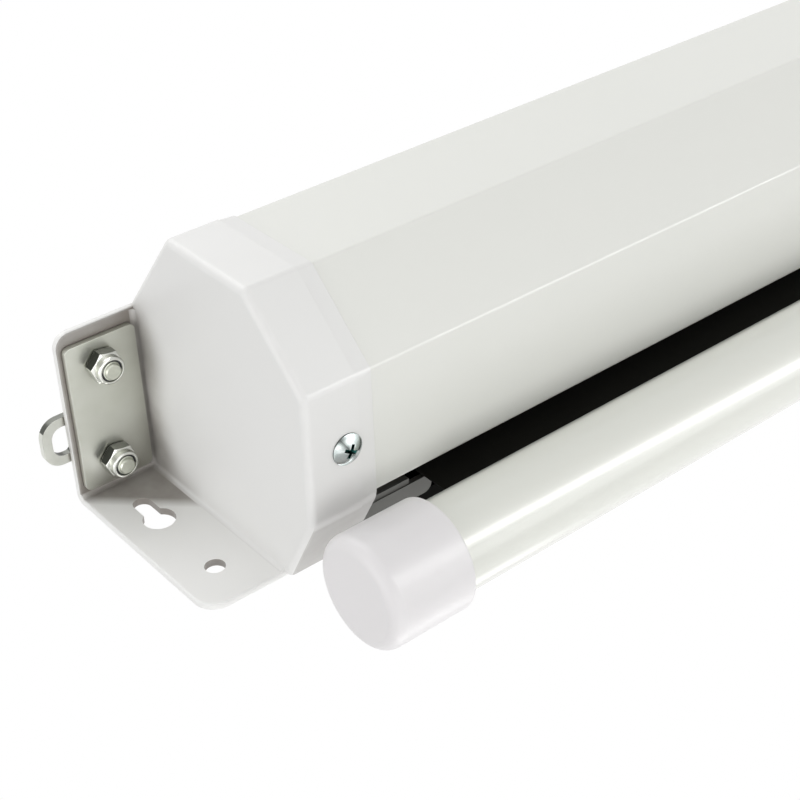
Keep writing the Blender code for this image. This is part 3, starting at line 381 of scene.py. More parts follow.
def hand_over(piece: Object, finishes: Sequence[Material], body: Body,
              stands_for: Sequence[str] = (), crease_deg: float = 35, weighted: bool = True) -> None:
    """Dress a piece and give it to its body.

    Args:
        piece: The finished mesh, in the model's frame.
        finishes: Materials, in the order of the mesh's slots.
        body: Body that it rides on.
        stands_for: CAD nodes that it replaces.
        crease_deg: Angle above which an edge stays sharp.
        weighted: Whether large faces rule the shading of the small ones beside them.
    """
    slots = [face.material_index for face in piece.data.polygons]
    piece.data.materials.clear()
    for material in finishes:
        piece.data.materials.append(material)
    piece.data.polygons.foreach_set("material_index", slots)
    piece.data.shade_smooth()
    piece.data.set_sharp_from_angle(angle=math.radians(crease_deg))
    if weighted:
        modifier = piece.modifiers.new("weighted", "WEIGHTED_NORMAL")
        modifier.keep_sharp = True
        modifier.weight = 50
    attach(piece, body.value)
    if stands_for:
        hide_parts(*stands_for)
    LOG.info("%s: %d faces, rides on %s", piece.name, len(piece.data.polygons), body.value)


# ---------------------------------------------------------------- node tools


class Board:
    """A node tree that is being wired."""

    def __init__(self, tree: NodeTree) -> None:
        """Start from a tree."""
        self.tree = tree

    def put(self, socket: NodeSocket, value: SocketValue) -> None:
        """Link a socket to another one, or write a plain value into it."""
        if isinstance(value, NodeSocket):
            self.tree.links.new(value, socket)
        elif socket.type == "RGBA" and len(value) == 3:
            socket.default_value = (*value, 1.0)
        else:
            socket.default_value = value

    def add(self, kind: str, sockets: dict[str, SocketValue] | None = None, **settings: object) -> Node:
        """Add a node.

        Args:
            kind: The node's type.
            sockets: Input sockets by name, each with a link or a value.
            settings: Properties of the node.

        Returns:
            The new node.
        """
        node = self.tree.nodes.new(kind)
        for name, value in settings.items():
            setattr(node, name, value)
        for name, value in (sockets or {}).items():
            self.put(node.inputs[name], value)
        return node

    def maths(self, operation: str, first: SocketValue, second: SocketValue = 0.0,
              clamp: bool = False) -> NodeSocket:
        """Result of a sum, product or other operation on two values."""
        node = self.tree.nodes.new("ShaderNodeMath")
        node.operation = operation
        node.use_clamp = clamp
        self.put(node.inputs[0], first)
        self.put(node.inputs[1], second)
        return node.outputs[0]

    def mixed(self, factor: SocketValue, first: SocketValue, second: SocketValue,
              mode: str = "MIX") -> NodeSocket:
        """Two colours mixed by a factor."""
        node = self.tree.nodes.new("ShaderNodeMix")
        node.data_type = "RGBA"
        node.blend_type = mode
        node.clamp_factor = True
        for index, value in ((0, factor), (6, first), (7, second)):
            self.put(node.inputs[index], value)
        return node.outputs[2]

    def spread(self, value: SocketValue, low: float, high: float, to_low: float, to_high: float) -> NodeSocket:
        """A value taken from one range to another and held inside it."""
        return self.add("ShaderNodeMapRange", {"Value": value, "From Min": low, "From Max": high,
                                               "To Min": to_low, "To Max": to_high}).outputs[0]

    def noise(self, vector: SocketValue, scale: SocketValue, detail: float = 2.0,
              roughness: float = 0.5) -> NodeSocket:
        """Value of a noise at a place."""
        return self.add("ShaderNodeTexNoise", {"Vector": vector, "Scale": scale, "Detail": detail,
                                               "Roughness": roughness}).outputs[0]


class Effect(Enum):
    """Effects that several finishes share, each one a node group."""

    GRAIN = "fine_grain"
    DRIFT = "tone_drift"
    # Edge marks: wear in a light colour, painted edge shade in a dark one.
    RUB_AND_EDGE_SHADE = "edge_rub"
    DUST = "settled_dust"
    LINES = "drawn_lines"
    WEAVE = "plain_weave"
    # Painted shade in corners, from ambient occlusion.
    CORNER = "corner_grime"


class EffectShelf:
    """Builds each shared node group once and places it in materials."""

    def __init__(self) -> None:
        """Build every group."""
        self.groups: dict[Effect, NodeTree] = {}
        self._grain()
        self._drift()
        self._rubbed_and_shaded_edges()
        self._dust()
        self._lines()
        self._weave()
        self._corner()

    def use(self, board: Board, effect: Effect, sockets: dict[str, SocketValue]) -> Node:
        """Place a group in a material and feed its inputs."""
        node = board.tree.nodes.new("ShaderNodeGroup")
        node.node_tree = self.groups[effect]
        for name, value in sockets.items():
            board.put(node.inputs[name], value)
        return node

    def _start(self, effect: Effect, inputs: dict[str, str], outputs: dict[str, str]
               ) -> tuple[Board, Node, Node]:
        """Open a group with named sockets.

        Args:
            effect: The effect that the group makes.
            inputs: Kind of each input by name.
            outputs: Kind of each output by name.

        Returns:
            The board, the node that gives the inputs and the node that takes the outputs.
        """
        tree = bpy.data.node_groups.new(effect.value, "ShaderNodeTree")
        for direction, sockets in (("INPUT", inputs), ("OUTPUT", outputs)):
            for name, kind in sockets.items():
                tree.interface.new_socket(name=name, in_out=direction, socket_type="NodeSocket" + kind)
        self.groups[effect] = tree
        board = Board(tree)
        return board, board.add("NodeGroupInput"), board.add("NodeGroupOutput")

    def _grain(self) -> None:
        """Fine two-scale grain of a coating or a mould."""
        board, given, taken = self._start(Effect.GRAIN, {"Vector": "Vector", "Scale": "Float"},
                                          {"Height": "Float"})
        coarse = board.noise(given.outputs["Vector"], given.outputs["Scale"], 2.0, 0.45)
        finer = board.maths("MULTIPLY", given.outputs["Scale"], 4.7)
        fine = board.noise(given.outputs["Vector"], finer, 1.0)
        height = board.maths("ADD", board.maths("MULTIPLY", coarse, 0.65), board.maths("MULTIPLY", fine, 0.35))
        board.put(taken.inputs["Height"], height)

    def _drift(self) -> None:
        """Slow change of tone over a surface."""
        board, given, taken = self._start(
            Effect.DRIFT, {"Vector": "Vector", "Scale": "Float", "Colour": "Color", "Second": "Color",
                           "Amount": "Float"}, {"Colour": "Color", "Mask": "Float"})
        cloud = board.noise(given.outputs["Vector"], given.outputs["Scale"], 3.0, 0.6)
        mask = board.spread(cloud, 0.32, 0.68, 0.0, 1.0)
        share = board.maths("MULTIPLY", mask, given.outputs["Amount"])
        board.put(taken.inputs["Colour"], board.mixed(share, given.outputs["Colour"], given.outputs["Second"]))
        board.put(taken.inputs["Mask"], mask)

    def _rubbed_and_shaded_edges(self) -> None:
        """Broken marks on the edges that the mesh marks: wear in a light colour, painted edge shade in a dark one."""
        board, given, taken = self._start(Effect.RUB_AND_EDGE_SHADE, {"Vector": "Vector", "Scale": "Float", "Amount": "Float"},
                                          {"Mask": "Float"})
        edge = board.add("ShaderNodeAttribute", attribute_name=Mark.EDGE.value).outputs["Fac"]
        broken = board.spread(board.noise(given.outputs["Vector"], given.outputs["Scale"], 4.0, 0.6),
                              0.42, 0.62, 0.15, 1.0)
        mask = board.maths("MULTIPLY", board.maths("MULTIPLY", edge, broken), given.outputs["Amount"],
                           clamp=True)
        board.put(taken.inputs["Mask"], mask)

    def _dust(self) -> None:
        """Thin dust on what faces up."""
        board, given, taken = self._start(Effect.DUST, {"Vector": "Vector", "Scale": "Float", "Amount": "Float"},
                                          {"Mask": "Float"})
        normal = board.add("ShaderNodeNewGeometry").outputs["Normal"]
        upward = board.add("ShaderNodeSeparateXYZ", {"Vector": normal}).outputs["Z"]
        facing = board.spread(upward, 0.35, 0.95, 0.0, 1.0)
        patchy = board.spread(board.noise(given.outputs["Vector"], given.outputs["Scale"], 5.0, 0.65),
                              0.3, 0.75, 0.25, 1.0)
        mask = board.maths("MULTIPLY", board.maths("MULTIPLY", facing, patchy), given.outputs["Amount"],
                           clamp=True)
        board.put(taken.inputs["Mask"], mask)

    def _lines(self) -> None:
        """Fine lines that drawing, rolling or brushing leaves along a surface."""
        board, given, taken = self._start(
            Effect.LINES, {"Vector": "Vector", "Stretch": "Vector", "Scale": "Float"}, {"Height": "Float"})
        drawn = board.add("ShaderNodeVectorMath", operation="MULTIPLY")
        board.put(drawn.inputs[0], given.outputs["Vector"])
        board.put(drawn.inputs[1], given.outputs["Stretch"])
        board.put(taken.inputs["Height"], board.noise(drawn.outputs[0], given.outputs["Scale"], 4.0, 0.6))

    def _weave(self) -> None:
        """Plain weave of fine threads along x and z."""
        board, given, taken = self._start(Effect.WEAVE, {"Vector": "Vector", "Threads": "Float"},
                                          {"Height": "Float"})
        split = board.add("ShaderNodeSeparateXYZ", {"Vector": given.outputs["Vector"]})
        rate = board.maths("MULTIPLY", given.outputs["Threads"], math.pi)
        waves = []
        for name in ("X", "Z"):
            turn = board.maths("MULTIPLY", split.outputs[name], rate)
            waves.append((board.maths("ABSOLUTE", board.maths("SINE", turn)), board.maths("COSINE", turn)))
        over = board.maths("MULTIPLY_ADD", board.maths("MULTIPLY", waves[0][1], waves[1][1]), 0.5)
        over.node.inputs[2].default_value = 0.5
        warp = board.maths("MULTIPLY", waves[0][0], over)
        weft = board.maths("MULTIPLY", waves[1][0], board.maths("SUBTRACT", 1.0, over))
        board.put(taken.inputs["Height"], board.maths("ADD", warp, weft))

    def _corner(self) -> None:
        """Painted shade in corners, from ambient occlusion, held to a range of heights."""
        board, given, taken = self._start(
            Effect.CORNER, {"Vector": "Vector", "Reach": "Float", "Amount": "Float", "Fade Low": "Float",
                            "Fade High": "Float", "Slant": "Float"}, {"Mask": "Float"})
        open_share = board.add("ShaderNodeAmbientOcclusion", {"Distance": given.outputs["Reach"]}, samples=12)
        closed = board.spread(open_share.outputs["AO"], 0.50, 0.96, 1.0, 0.0)
        split = board.add("ShaderNodeSeparateXYZ", {"Vector": given.outputs["Vector"]})
        from_middle = board.maths("ABSOLUTE", board.maths("SUBTRACT", split.outputs["X"], MID_X))
        inwards = board.maths("SUBTRACT", (RIGHT_END - LEFT_END) / 2, from_middle)
        height = board.maths("ADD", split.outputs["Z"], board.maths("MULTIPLY", inwards, given.outputs["Slant"]))
        held = board.add("ShaderNodeMapRange", {"Value": height, "From Min": given.outputs["Fade Low"],
                                                "From Max": given.outputs["Fade High"]}).outputs[0]
        cloudy = board.spread(board.noise(given.outputs["Vector"], 140.0, 3.0), 0.3, 0.7, 0.82, 1.0)
        mask = board.maths("MULTIPLY", board.maths("MULTIPLY", closed, held),
                           board.maths("MULTIPLY", cloudy, given.outputs["Amount"]), clamp=True)
        board.put(taken.inputs["Mask"], mask)


# ---------------------------------------------------------------- finishes


@dataclass(frozen=True)
class PaintedShadeBand:
    """Painted shade in the corners of one range of heights: from none at one height to its full amount at another.

    The slant raises the range by so much for each metre outwards of the caps' end faces; on the wall flange it tilts
    the painted shade into a painted cast shadow.
    """

    amount: float
    reach: float
    start_z: float = -9.0
    full_z: float = -8.0
    slant: float = 0.0


@dataclass(frozen=True)
class Finish:
    """What every finish shares.

    Colours are linear; scales are per metre; the grain's depth is in metres.
    """

    name: str
    colour: Colour
    second: Colour
    roughness: float
    roughness_spread: float = 0.06
    drift_scale: float = 14.0
    drift: float = 0.6
    grain_scale: float = 900.0
    grain_depth: float = 0.012 * MM
    # Edge marks: wear on most finishes; the eye's dark colour is painted edge shade.
    rub_and_edge_shade: float = 0.25
    rub_and_edge_shade_scale: float = 160.0
    rub_and_edge_shade_colour: Colour = (0.86, 0.86, 0.85)
    dust: float = 0.0
    dust_scale: float = 55.0
    dust_gloss: float = 0.5
    dust_colour: Colour = (0.52, 0.50, 0.46)
    coat: float = 0.0
    coat_roughness: float = 0.12
    specular: float = 0.5
    # Painted shade: corner bands that darken towards this colour, and the faces that the mesh marks.
    painted_corner_shade: tuple[PaintedShadeBand, ...] = ()
    painted_shade_colour: Colour = (0.165, 0.138, 0.112)

    def start(self) -> tuple[Material, Board, Node, NodeSocket]:
        """Open a material.

        Returns:
            The material, its board, its Principled shader and its Object coordinates.
        """
        material = bpy.data.materials.new(self.name)
        material.use_nodes = True
        board = Board(material.node_tree)
        shader = material.node_tree.nodes["Principled BSDF"]
        place_on_piece = board.add("ShaderNodeTexCoord").outputs["Object"]
        return material, board, shader, place_on_piece

    def material(self, shelf: EffectShelf) -> Material:
        """The finished material: drift, edge wear, painted corner shade, dust, uneven gloss and grain."""
        material, board, shader, spot = self.start()
        tone = self.clouded(shelf, board, spot)
        rub_and_edge_shade = shelf.use(board, Effect.RUB_AND_EDGE_SHADE, {"Vector": spot, "Scale": self.rub_and_edge_shade_scale, "Amount": self.rub_and_edge_shade})
        colour = board.mixed(rub_and_edge_shade.outputs["Mask"], tone.outputs["Colour"], self.rub_and_edge_shade_colour)
        grain = shelf.use(board, Effect.GRAIN, {"Vector": spot, "Scale": self.grain_scale})
        gloss = board.spread(tone.outputs["Mask"], 0.0, 1.0, self.roughness - self.roughness_spread,
                             self.roughness + self.roughness_spread)
        colour = self.with_painted_shade(shelf, board, spot, colour)
        if self.dust > 0:
            dust = shelf.use(board, Effect.DUST, {"Vector": spot, "Scale": self.dust_scale, "Amount": self.dust})
            colour = board.mixed(dust.outputs["Mask"], colour, self.dust_colour)
            gloss = board.maths("ADD", gloss, board.maths("MULTIPLY", dust.outputs["Mask"], self.dust_gloss),
                                clamp=True)
        board.put(shader.inputs["Base Color"], colour)
        board.put(shader.inputs["Roughness"], gloss)
        board.put(shader.inputs["Coat Weight"], self.coat)
        board.put(shader.inputs["Coat Roughness"], self.coat_roughness)
        board.put(shader.inputs["Specular IOR Level"], self.specular)
        self.bump(board, shader, grain.outputs["Height"], self.grain_depth)
        return material

    def clouded(self, shelf: EffectShelf, board: Board, spot: NodeSocket) -> Node:
        """The finish's two colours, drifting slowly from one to the other."""
        return shelf.use(board, Effect.DRIFT, {"Vector": spot, "Scale": self.drift_scale, "Colour": self.colour,
                                               "Second": self.second, "Amount": self.drift})

    def with_painted_shade(self, shelf: EffectShelf, board: Board, spot: NodeSocket, colour: NodeSocket) -> NodeSocket:
        """Darken a colour with painted shade: in the corner bands and on the faces that the mesh marks.

        Args:
            shelf: The shared effects.
            board: The material's board.
            spot: Object coordinates.
            colour: The colour before the painted shade.

        Returns:
            The colour with the painted shade on it.
        """
        for band in self.painted_corner_shade:
            painted_corner_shade = shelf.use(board, Effect.CORNER, {"Vector": spot, "Reach": band.reach, "Amount": band.amount,
                                                     "Fade Low": band.start_z, "Fade High": band.full_z,
                                                     "Slant": band.slant})
            colour = board.mixed(painted_corner_shade.outputs["Mask"], colour, self.painted_shade_colour)
        if self.painted_corner_shade:
            # Painted shade on the faces that the mesh marks.
            marked = board.add("ShaderNodeAttribute", attribute_name=Mark.PAINTED_SHADE.value).outputs["Fac"]
            cloudy = board.spread(board.noise(spot, 180.0, 3.0), 0.3, 0.7, 0.85, 1.0)
            colour = board.mixed(board.maths("MULTIPLY", marked, cloudy), colour, self.painted_shade_colour)
        return colour

    def bump(self, board: Board, shader: Node, height: NodeSocket, depth: float) -> None:
        """Feed a height of the given depth to the shader's normal."""
        node = board.add("ShaderNodeBump", {"Height": height, "Strength": 1.0, "Distance": depth})
        board.put(shader.inputs["Normal"], node.outputs["Normal"])


@dataclass(frozen=True)
class RolledPaint(Finish):
    """Satin powder coat on rolled sheet: orange peel over slow waves that run along the sheet."""

    wave_depth: float = 0.05 * MM
    wave_scale: float = 60.0
    wave_stretch: Triple = (0.12, 1.0, 1.0)

    def bump(self, board: Board, shader: Node, height: NodeSocket, depth: float) -> None:
        """Lay the orange peel over the sheet's own slow waves."""
        spot = board.add("ShaderNodeTexCoord").outputs["Object"]
        slow = board.add("ShaderNodeMapping", {"Vector": spot, "Scale": self.wave_stretch}).outputs["Vector"]
        waves = board.noise(slow, self.wave_scale, 1.0)
        under = board.add("ShaderNodeBump", {"Height": waves, "Strength": 1.0, "Distance": self.wave_depth})
        node = board.add("ShaderNodeBump", {"Height": height, "Strength": 1.0, "Distance": depth,
                                            "Normal": under.outputs["Normal"]})
        board.put(shader.inputs["Normal"], node.outputs["Normal"])


@dataclass(frozen=True)
class PlatedMetal(Finish):
    """Plated metal: clouded tone, drawn lines, edge wear (painted edge shade on the eye), and painted reflection and
    shade on marked faces and in corners.
    """

    metallic: float = 1.0
    rub_and_edge_shade_scale: float = 300.0
    stretch: Triple = (1.0, 1.0, 1.0)
    line_scale: float = 700.0
    line_depth: float = 0.01 * MM
    # Near-black colour that faces marked for painted reflection and shade are darkened towards.
    painted_reflection_colour: Colour = (0.020, 0.022, 0.018)

    def material(self, shelf: EffectShelf) -> Material:
        """The finished metal."""
        material, board, shader, spot = self.start()
        tone = self.clouded(shelf, board, spot)
        lines = shelf.use(board, Effect.LINES, {"Vector": spot, "Stretch": self.stretch,
                                                "Scale": self.line_scale})
        rub_and_edge_shade = shelf.use(board, Effect.RUB_AND_EDGE_SHADE, {"Vector": spot, "Scale": self.rub_and_edge_shade_scale, "Amount": self.rub_and_edge_shade})
        colour = board.mixed(rub_and_edge_shade.outputs["Mask"], tone.outputs["Colour"], self.rub_and_edge_shade_colour)
        # Painted reflection and shade on the faces that the mesh marks.
        painted_reflection = board.add("ShaderNodeAttribute", attribute_name=Mark.PAINTED_REFLECTION_AND_SHADE.value).outputs["Fac"]
        colour = self.with_painted_shade(shelf, board, spot, board.mixed(painted_reflection, colour, self.painted_reflection_colour))
        uneven = board.maths("ADD", tone.outputs["Mask"], lines.outputs["Height"])
        board.put(shader.inputs["Base Color"], colour)
        board.put(shader.inputs["Metallic"], self.metallic)
        board.put(shader.inputs["Roughness"], board.spread(uneven, 0.3, 1.6, self.roughness - self.roughness_spread,
                                                           self.roughness + self.roughness_spread))
        self.bump(board, shader, lines.outputs["Height"], self.line_depth)
        return material


@dataclass(frozen=True)
class CoatedCloth(Finish):
    """Coated woven cloth, black, with a matt white picture on its front where it hangs fully down."""

    picture: Colour | None = None
    picture_thread: Colour = (0.93, 0.93, 0.93)
    threads: float = 1700.0
    thread_contrast: float = 0.35
    picture_contrast: float = 0.05
    picture_top: float = -164.2 * MM
    picture_bottom: float = -1444.2 * MM
    picture_half: float = 853.5 * MM

    def material(self, shelf: EffectShelf) -> Material:
        """The finished cloth."""
        material, board, shader, spot = self.start()
        tone = self.clouded(shelf, board, spot)
        weave = shelf.use(board, Effect.WEAVE, {"Vector": spot, "Threads": self.threads})
        threads = board.maths("MULTIPLY", weave.outputs["Height"], self.thread_contrast)
        colour = board.mixed(threads, tone.outputs["Colour"], self.second)
        gloss = board.spread(weave.outputs["Height"], 0.0, 1.0, self.roughness + self.roughness_spread,
                             self.roughness - self.roughness_spread)
        if self.picture:
            split = board.add("ShaderNodeSeparateXYZ", {"Vector": spot})
            across = board.maths("ABSOLUTE", board.maths("SUBTRACT", split.outputs["X"], MID_X))
            inside = board.maths("LESS_THAN", across, self.picture_half)
            below = board.maths("LESS_THAN", split.outputs["Z"], self.picture_top)
            above = board.maths("GREATER_THAN", split.outputs["Z"], self.picture_bottom)
            mask = board.maths("MULTIPLY", inside, board.maths("MULTIPLY", below, above))
            threads = board.maths("MULTIPLY", weave.outputs["Height"], self.picture_contrast)
            white = board.mixed(threads, self.picture, self.picture_thread)
            colour = board.mixed(mask, colour, white)
        board.put(shader.inputs["Base Color"], colour)
        board.put(shader.inputs["Roughness"], gloss)
        board.put(shader.inputs["Specular IOR Level"], self.specular)
        self.bump(board, shader, weave.outputs["Height"], self.grain_depth)
        return material


class FinishBook:
    """Every finish of the screen, made into a material once."""

    def __init__(self) -> None:
        """Make the shared effects and the materials."""
        self.shelf = EffectShelf()
        make = self._make
        self.casing_paint = make(RolledPaint("casing_paint", (0.790, 0.795, 0.755), (0.765, 0.773, 0.733), 0.42,
                                             dust=0.30, drift_scale=9.0, coat=0.35, coat_roughness=0.16))
        # Near-black inside of the casing: painted shade on the inside and under the rear lip.
        self.casing_inside_painted_shade = make(Finish("casing_inside_painted_shade", (0.0028, 0.0028, 0.0022), (0.0050, 0.0050, 0.0042), 0.85,
                                         rub_and_edge_shade=0.03, rub_and_edge_shade_colour=(0.05, 0.05, 0.045), specular=0.06))
        self.bar_paint = make(RolledPaint("bar_paint", (0.745, 0.755, 0.698), (0.722, 0.733, 0.680), 0.38,
                                          dust=0.15, drift_scale=9.0, wave_depth=0.02 * MM, coat=0.9,
                                          coat_roughness=0.17))
        # The cap's band is painted shade: ambient-occlusion darkening near the cup's corners and flanges.
        cap = Finish("cap_plastic", (0.805, 0.804, 0.790), (0.784, 0.782, 0.770), 0.46, grain_scale=2600.0,
                     grain_depth=0.010 * MM, dust=0.30, coat=0.25, coat_roughness=0.25,
                     painted_corner_shade=(PaintedShadeBand(0.70, 12.5 * MM, 10 * MM, 27 * MM),))
        self.cap_plastic = make(cap)
        # The flanges: a lighter copy of the cap's finish as painted light, with a slanted band of painted shade that
        # stands for the cast shadow on the wall flange.
        self.flange_plastic_painted_light = make(replace(cap, name="flange_plastic_painted_light", colour=(0.870, 0.868, 0.850),
                                           second=(0.850, 0.848, 0.834),
                                           painted_corner_shade=(PaintedShadeBand(0.82, 60 * MM, 8.0 * MM, 13.0 * MM, 0.97),)))
        # The bar cap's band is painted shade: ambient-occlusion darkening on its top, towards the housing.
        self.bar_cap_plastic = make(Finish("bar_cap_plastic", (0.782, 0.766, 0.772), (0.758, 0.742, 0.748), 0.42,
                                           grain_scale=2600.0, grain_depth=0.008 * MM, dust=0.15, coat=0.08,
                                           coat_roughness=0.24, painted_corner_shade=(PaintedShadeBand(0.55, 9 * MM, -50 * MM, -43 * MM),)))
        # The insert's dark grey is painted shade of the white plastic deep inside the casing.
        self.insert_plastic_painted_shade = make(Finish("insert_plastic_painted_shade", (0.145, 0.145, 0.133), (0.108, 0.108, 0.099), 0.50,
                                          grain_scale=2200.0, rub_and_edge_shade_colour=(0.4, 0.4, 0.38)))
        self.grey_plastic = make(Finish("grey_plastic", (0.42, 0.43, 0.42), (0.37, 0.38, 0.37), 0.52,
                                        grain_scale=2200.0, rub_and_edge_shade_colour=(0.6, 0.6, 0.59), dust=0.2))
        self.nylon = make(Finish("nylon", (0.70, 0.69, 0.62), (0.64, 0.62, 0.54), 0.45, grain_scale=1800.0))
        # The nylon ring is real; its near-black colour is painted shade of the gap inside the nut's collar.
        self.lock_ring = make(Finish("lock_ring", (0.012, 0.013, 0.016), (0.02, 0.022, 0.03), 0.38,
                                     grain_scale=3000.0, rub_and_edge_shade_colour=(0.08, 0.08, 0.09)))
        # The plate's band is painted shade: ambient-occlusion darkening near the cap and the flange.
        self.plate_zinc = make(PlatedMetal("plate_zinc", (0.730, 0.740, 0.680), (0.600, 0.615, 0.540), 0.38,
                                           drift_scale=45.0, drift=0.75, rub_and_edge_shade=0.25,
                                           rub_and_edge_shade_colour=(0.90, 0.90, 0.86), stretch=(1.0, 0.12, 1.0),
                                           painted_corner_shade=(PaintedShadeBand(0.36, 12 * MM),),
                                           painted_shade_colour=(0.170, 0.155, 0.125)))
        # The eye's dark edge colour and its darkened cut sides are painted shade along its edges.
        self.eye_zinc = make(PlatedMetal("eye_zinc", (0.760, 0.770, 0.720), (0.600, 0.610, 0.560), 0.34,
                                         drift_scale=90.0, drift=0.75, rub_and_edge_shade=0.85,
                                         rub_and_edge_shade_colour=(0.110, 0.110, 0.100), stretch=(1.0, 0.12, 1.0)))
        self.nut_zinc = make(PlatedMetal("nut_zinc", (0.78, 0.79, 0.74), (0.52, 0.53, 0.50), 0.22,
                                         drift_scale=260.0, rub_and_edge_shade=0.5, rub_and_edge_shade_colour=(0.92, 0.92, 0.89),
                                         stretch=(1.0, 1.0, 0.1)))
        self.stud_zinc = make(PlatedMetal("stud_zinc", (0.700, 0.715, 0.630), (0.520, 0.535, 0.460), 0.34,
                                          drift_scale=300.0, rub_and_edge_shade=0.5, rub_and_edge_shade_colour=(0.86, 0.87, 0.80),
                                          stretch=(1.0, 0.15, 1.0), line_scale=1500.0))
        self.screw_zinc = make(PlatedMetal("screw_zinc", (0.700, 0.745, 0.735), (0.340, 0.420, 0.410), 0.20,
                                           drift_scale=420.0, rub_and_edge_shade=0.6, rub_and_edge_shade_colour=(0.93, 0.96, 0.95)))
        # Near-black recess finish: painted shade in the screw's cross recess.
        self.recess_steel_painted_shade = make(PlatedMetal("recess_steel_painted_shade", (0.020, 0.085, 0.075), (0.004, 0.030, 0.026), 0.32,
                                             drift_scale=420.0, rub_and_edge_shade=0.3, rub_and_edge_shade_colour=(0.30, 0.48, 0.46)))
        self.drawn_steel = make(PlatedMetal("drawn_steel", (0.62, 0.62, 0.60), (0.48, 0.48, 0.46), 0.26,
                                            drift_scale=60.0, rub_and_edge_shade=0.5, stretch=(0.05, 1.0, 1.0)))
        self.turned_steel = make(PlatedMetal("turned_steel", (0.58, 0.58, 0.56), (0.44, 0.44, 0.42), 0.30,
                                             drift_scale=90.0, rub_and_edge_shade=0.5, stretch=(3.0, 0.2, 0.2)))
        black, brown = (0.0030, 0.0030, 0.0016), (0.0065, 0.0065, 0.0045)
        self.black_cloth = make(CoatedCloth("black_cloth", black, brown, 0.88, grain_depth=0.03 * MM,
                                            drift_scale=30.0, specular=0.15))
        self.screen_cloth = make(CoatedCloth("screen_cloth", black, brown, 0.88, grain_depth=0.03 * MM,
                                             drift_scale=30.0, specular=0.15, picture=(0.88, 0.88, 0.87)))

    def _make(self, finish: Finish) -> Material:
        """Make one finish and say so."""
        LOG.info("finish %s", finish.name)
        return finish.material(self.shelf)


# ---------------------------------------------------------------- sub-assemblies


@dataclass
class Casing:
    """Rolled steel casing with five flats and an open slot between two folded lips."""

    start: float = LEFT_END + 2.8 * MM
    end: float = RIGHT_END - 2.8 * MM
    sheet: float = 0.8 * MM
    fold_radius: float = 1.1 * MM
    lip_radius: float = 0.85 * MM
    rear_radius: float = 0.5 * MM
    lip_edge: float = 0.25 * MM
    rear_tip: Point = (-5.4 * MM, -60.8 * MM)
    folds: tuple[Point, ...] = ((-1.0 * MM, -60.8 * MM), (-1.0 * MM, -1.0 * MM), (-49.448 * MM, -1.0 * MM),
                                (-75.0 * MM, -21.480 * MM), (-75.0 * MM, -51.401 * MM),
                                (-56.371 * MM, -71.0 * MM), (-22.6 * MM, -71.0 * MM))
    front_tip: Point = (-22.6 * MM, -65.6 * MM)
    middle: Point = (-38 * MM, -36 * MM)

    def build(self) -> Object:
        """The sheet: a ribbon folded round the section, then given its thickness."""
        path = [self.rear_tip, *self.folds, self.front_tip]
        bm = ribbon([(y, CEILING + z) for y, z in path], self.start, self.end - self.start)
        self._fold(bm)
        bmesh.ops.recalc_face_normals(bm, faces=bm.faces)
        sample = max(bm.faces, key=lambda face: face.calc_area())
        if self._outward(sample) < 0:
            bmesh.ops.reverse_faces(bm, faces=bm.faces)
        bmesh.ops.solidify(bm, geom=bm.faces[:], thickness=self.sheet)
        tidy(bm)
        soften(bm, corners_of(bm), self.lip_edge, 2)
        for face in bm.faces:
            # Slot 1, the near-black inside finish, is painted shade on the inside and under the rear lip.
            face.material_index = 1 if self._in_lip_shade(face) or self._outward(face) < 0 else 0
        return as_object("casing_sheet", bm)

    def _fold(self, bm: BMesh) -> None:
        """Round each fold to its own radius."""
        own = {self.folds[0]: self.rear_radius, self.folds[-1]: self.lip_radius}
        for y, z in self.folds:
            radius = own.get((y, z), self.fold_radius)
            for edge in [edge for edge in bm.edges if len(edge.link_faces) == 2]:
                if all(abs(v.co.y - y) < WELD and abs(v.co.z - CEILING - z) < WELD for v in edge.verts):
                    bmesh.ops.recalc_face_normals(bm, faces=bm.faces)
                    turn = edge.calc_face_angle(0)
                    bmesh.ops.bevel(bm, geom=[edge], offset=radius * math.tan(turn / 2), offset_type="OFFSET",
                                    affect="EDGES", segments=6, profile=0.5, material=-1)
                    break

    def _in_lip_shade(self, face: BMFace) -> bool:
        """Whether a face is the underside of the rear lip, which gets the near-black inside finish as painted shade."""
        spot = face.calc_center_median()
        inwards = self.rear_tip[0] - MM < spot.y < self.folds[0][0] - HAIR
        return inwards and spot.z < CEILING + self.rear_tip[1] + self.sheet

    def _outward(self, face: BMFace) -> float:
        """Positive where a face looks away from the middle of the section."""
        spot = face.calc_center_median()
        away = Vector((0, spot.y - self.middle[0], spot.z - CEILING - self.middle[1]))
        return face.normal.dot(away)

    def dress(self, piece: Object, book: FinishBook) -> None:
        """White outside; near black inside as painted shade."""
        hand_over(piece, [book.casing_paint, book.casing_inside_painted_shade], Body.HOUSING, ["casing"],
                  crease_deg=30)


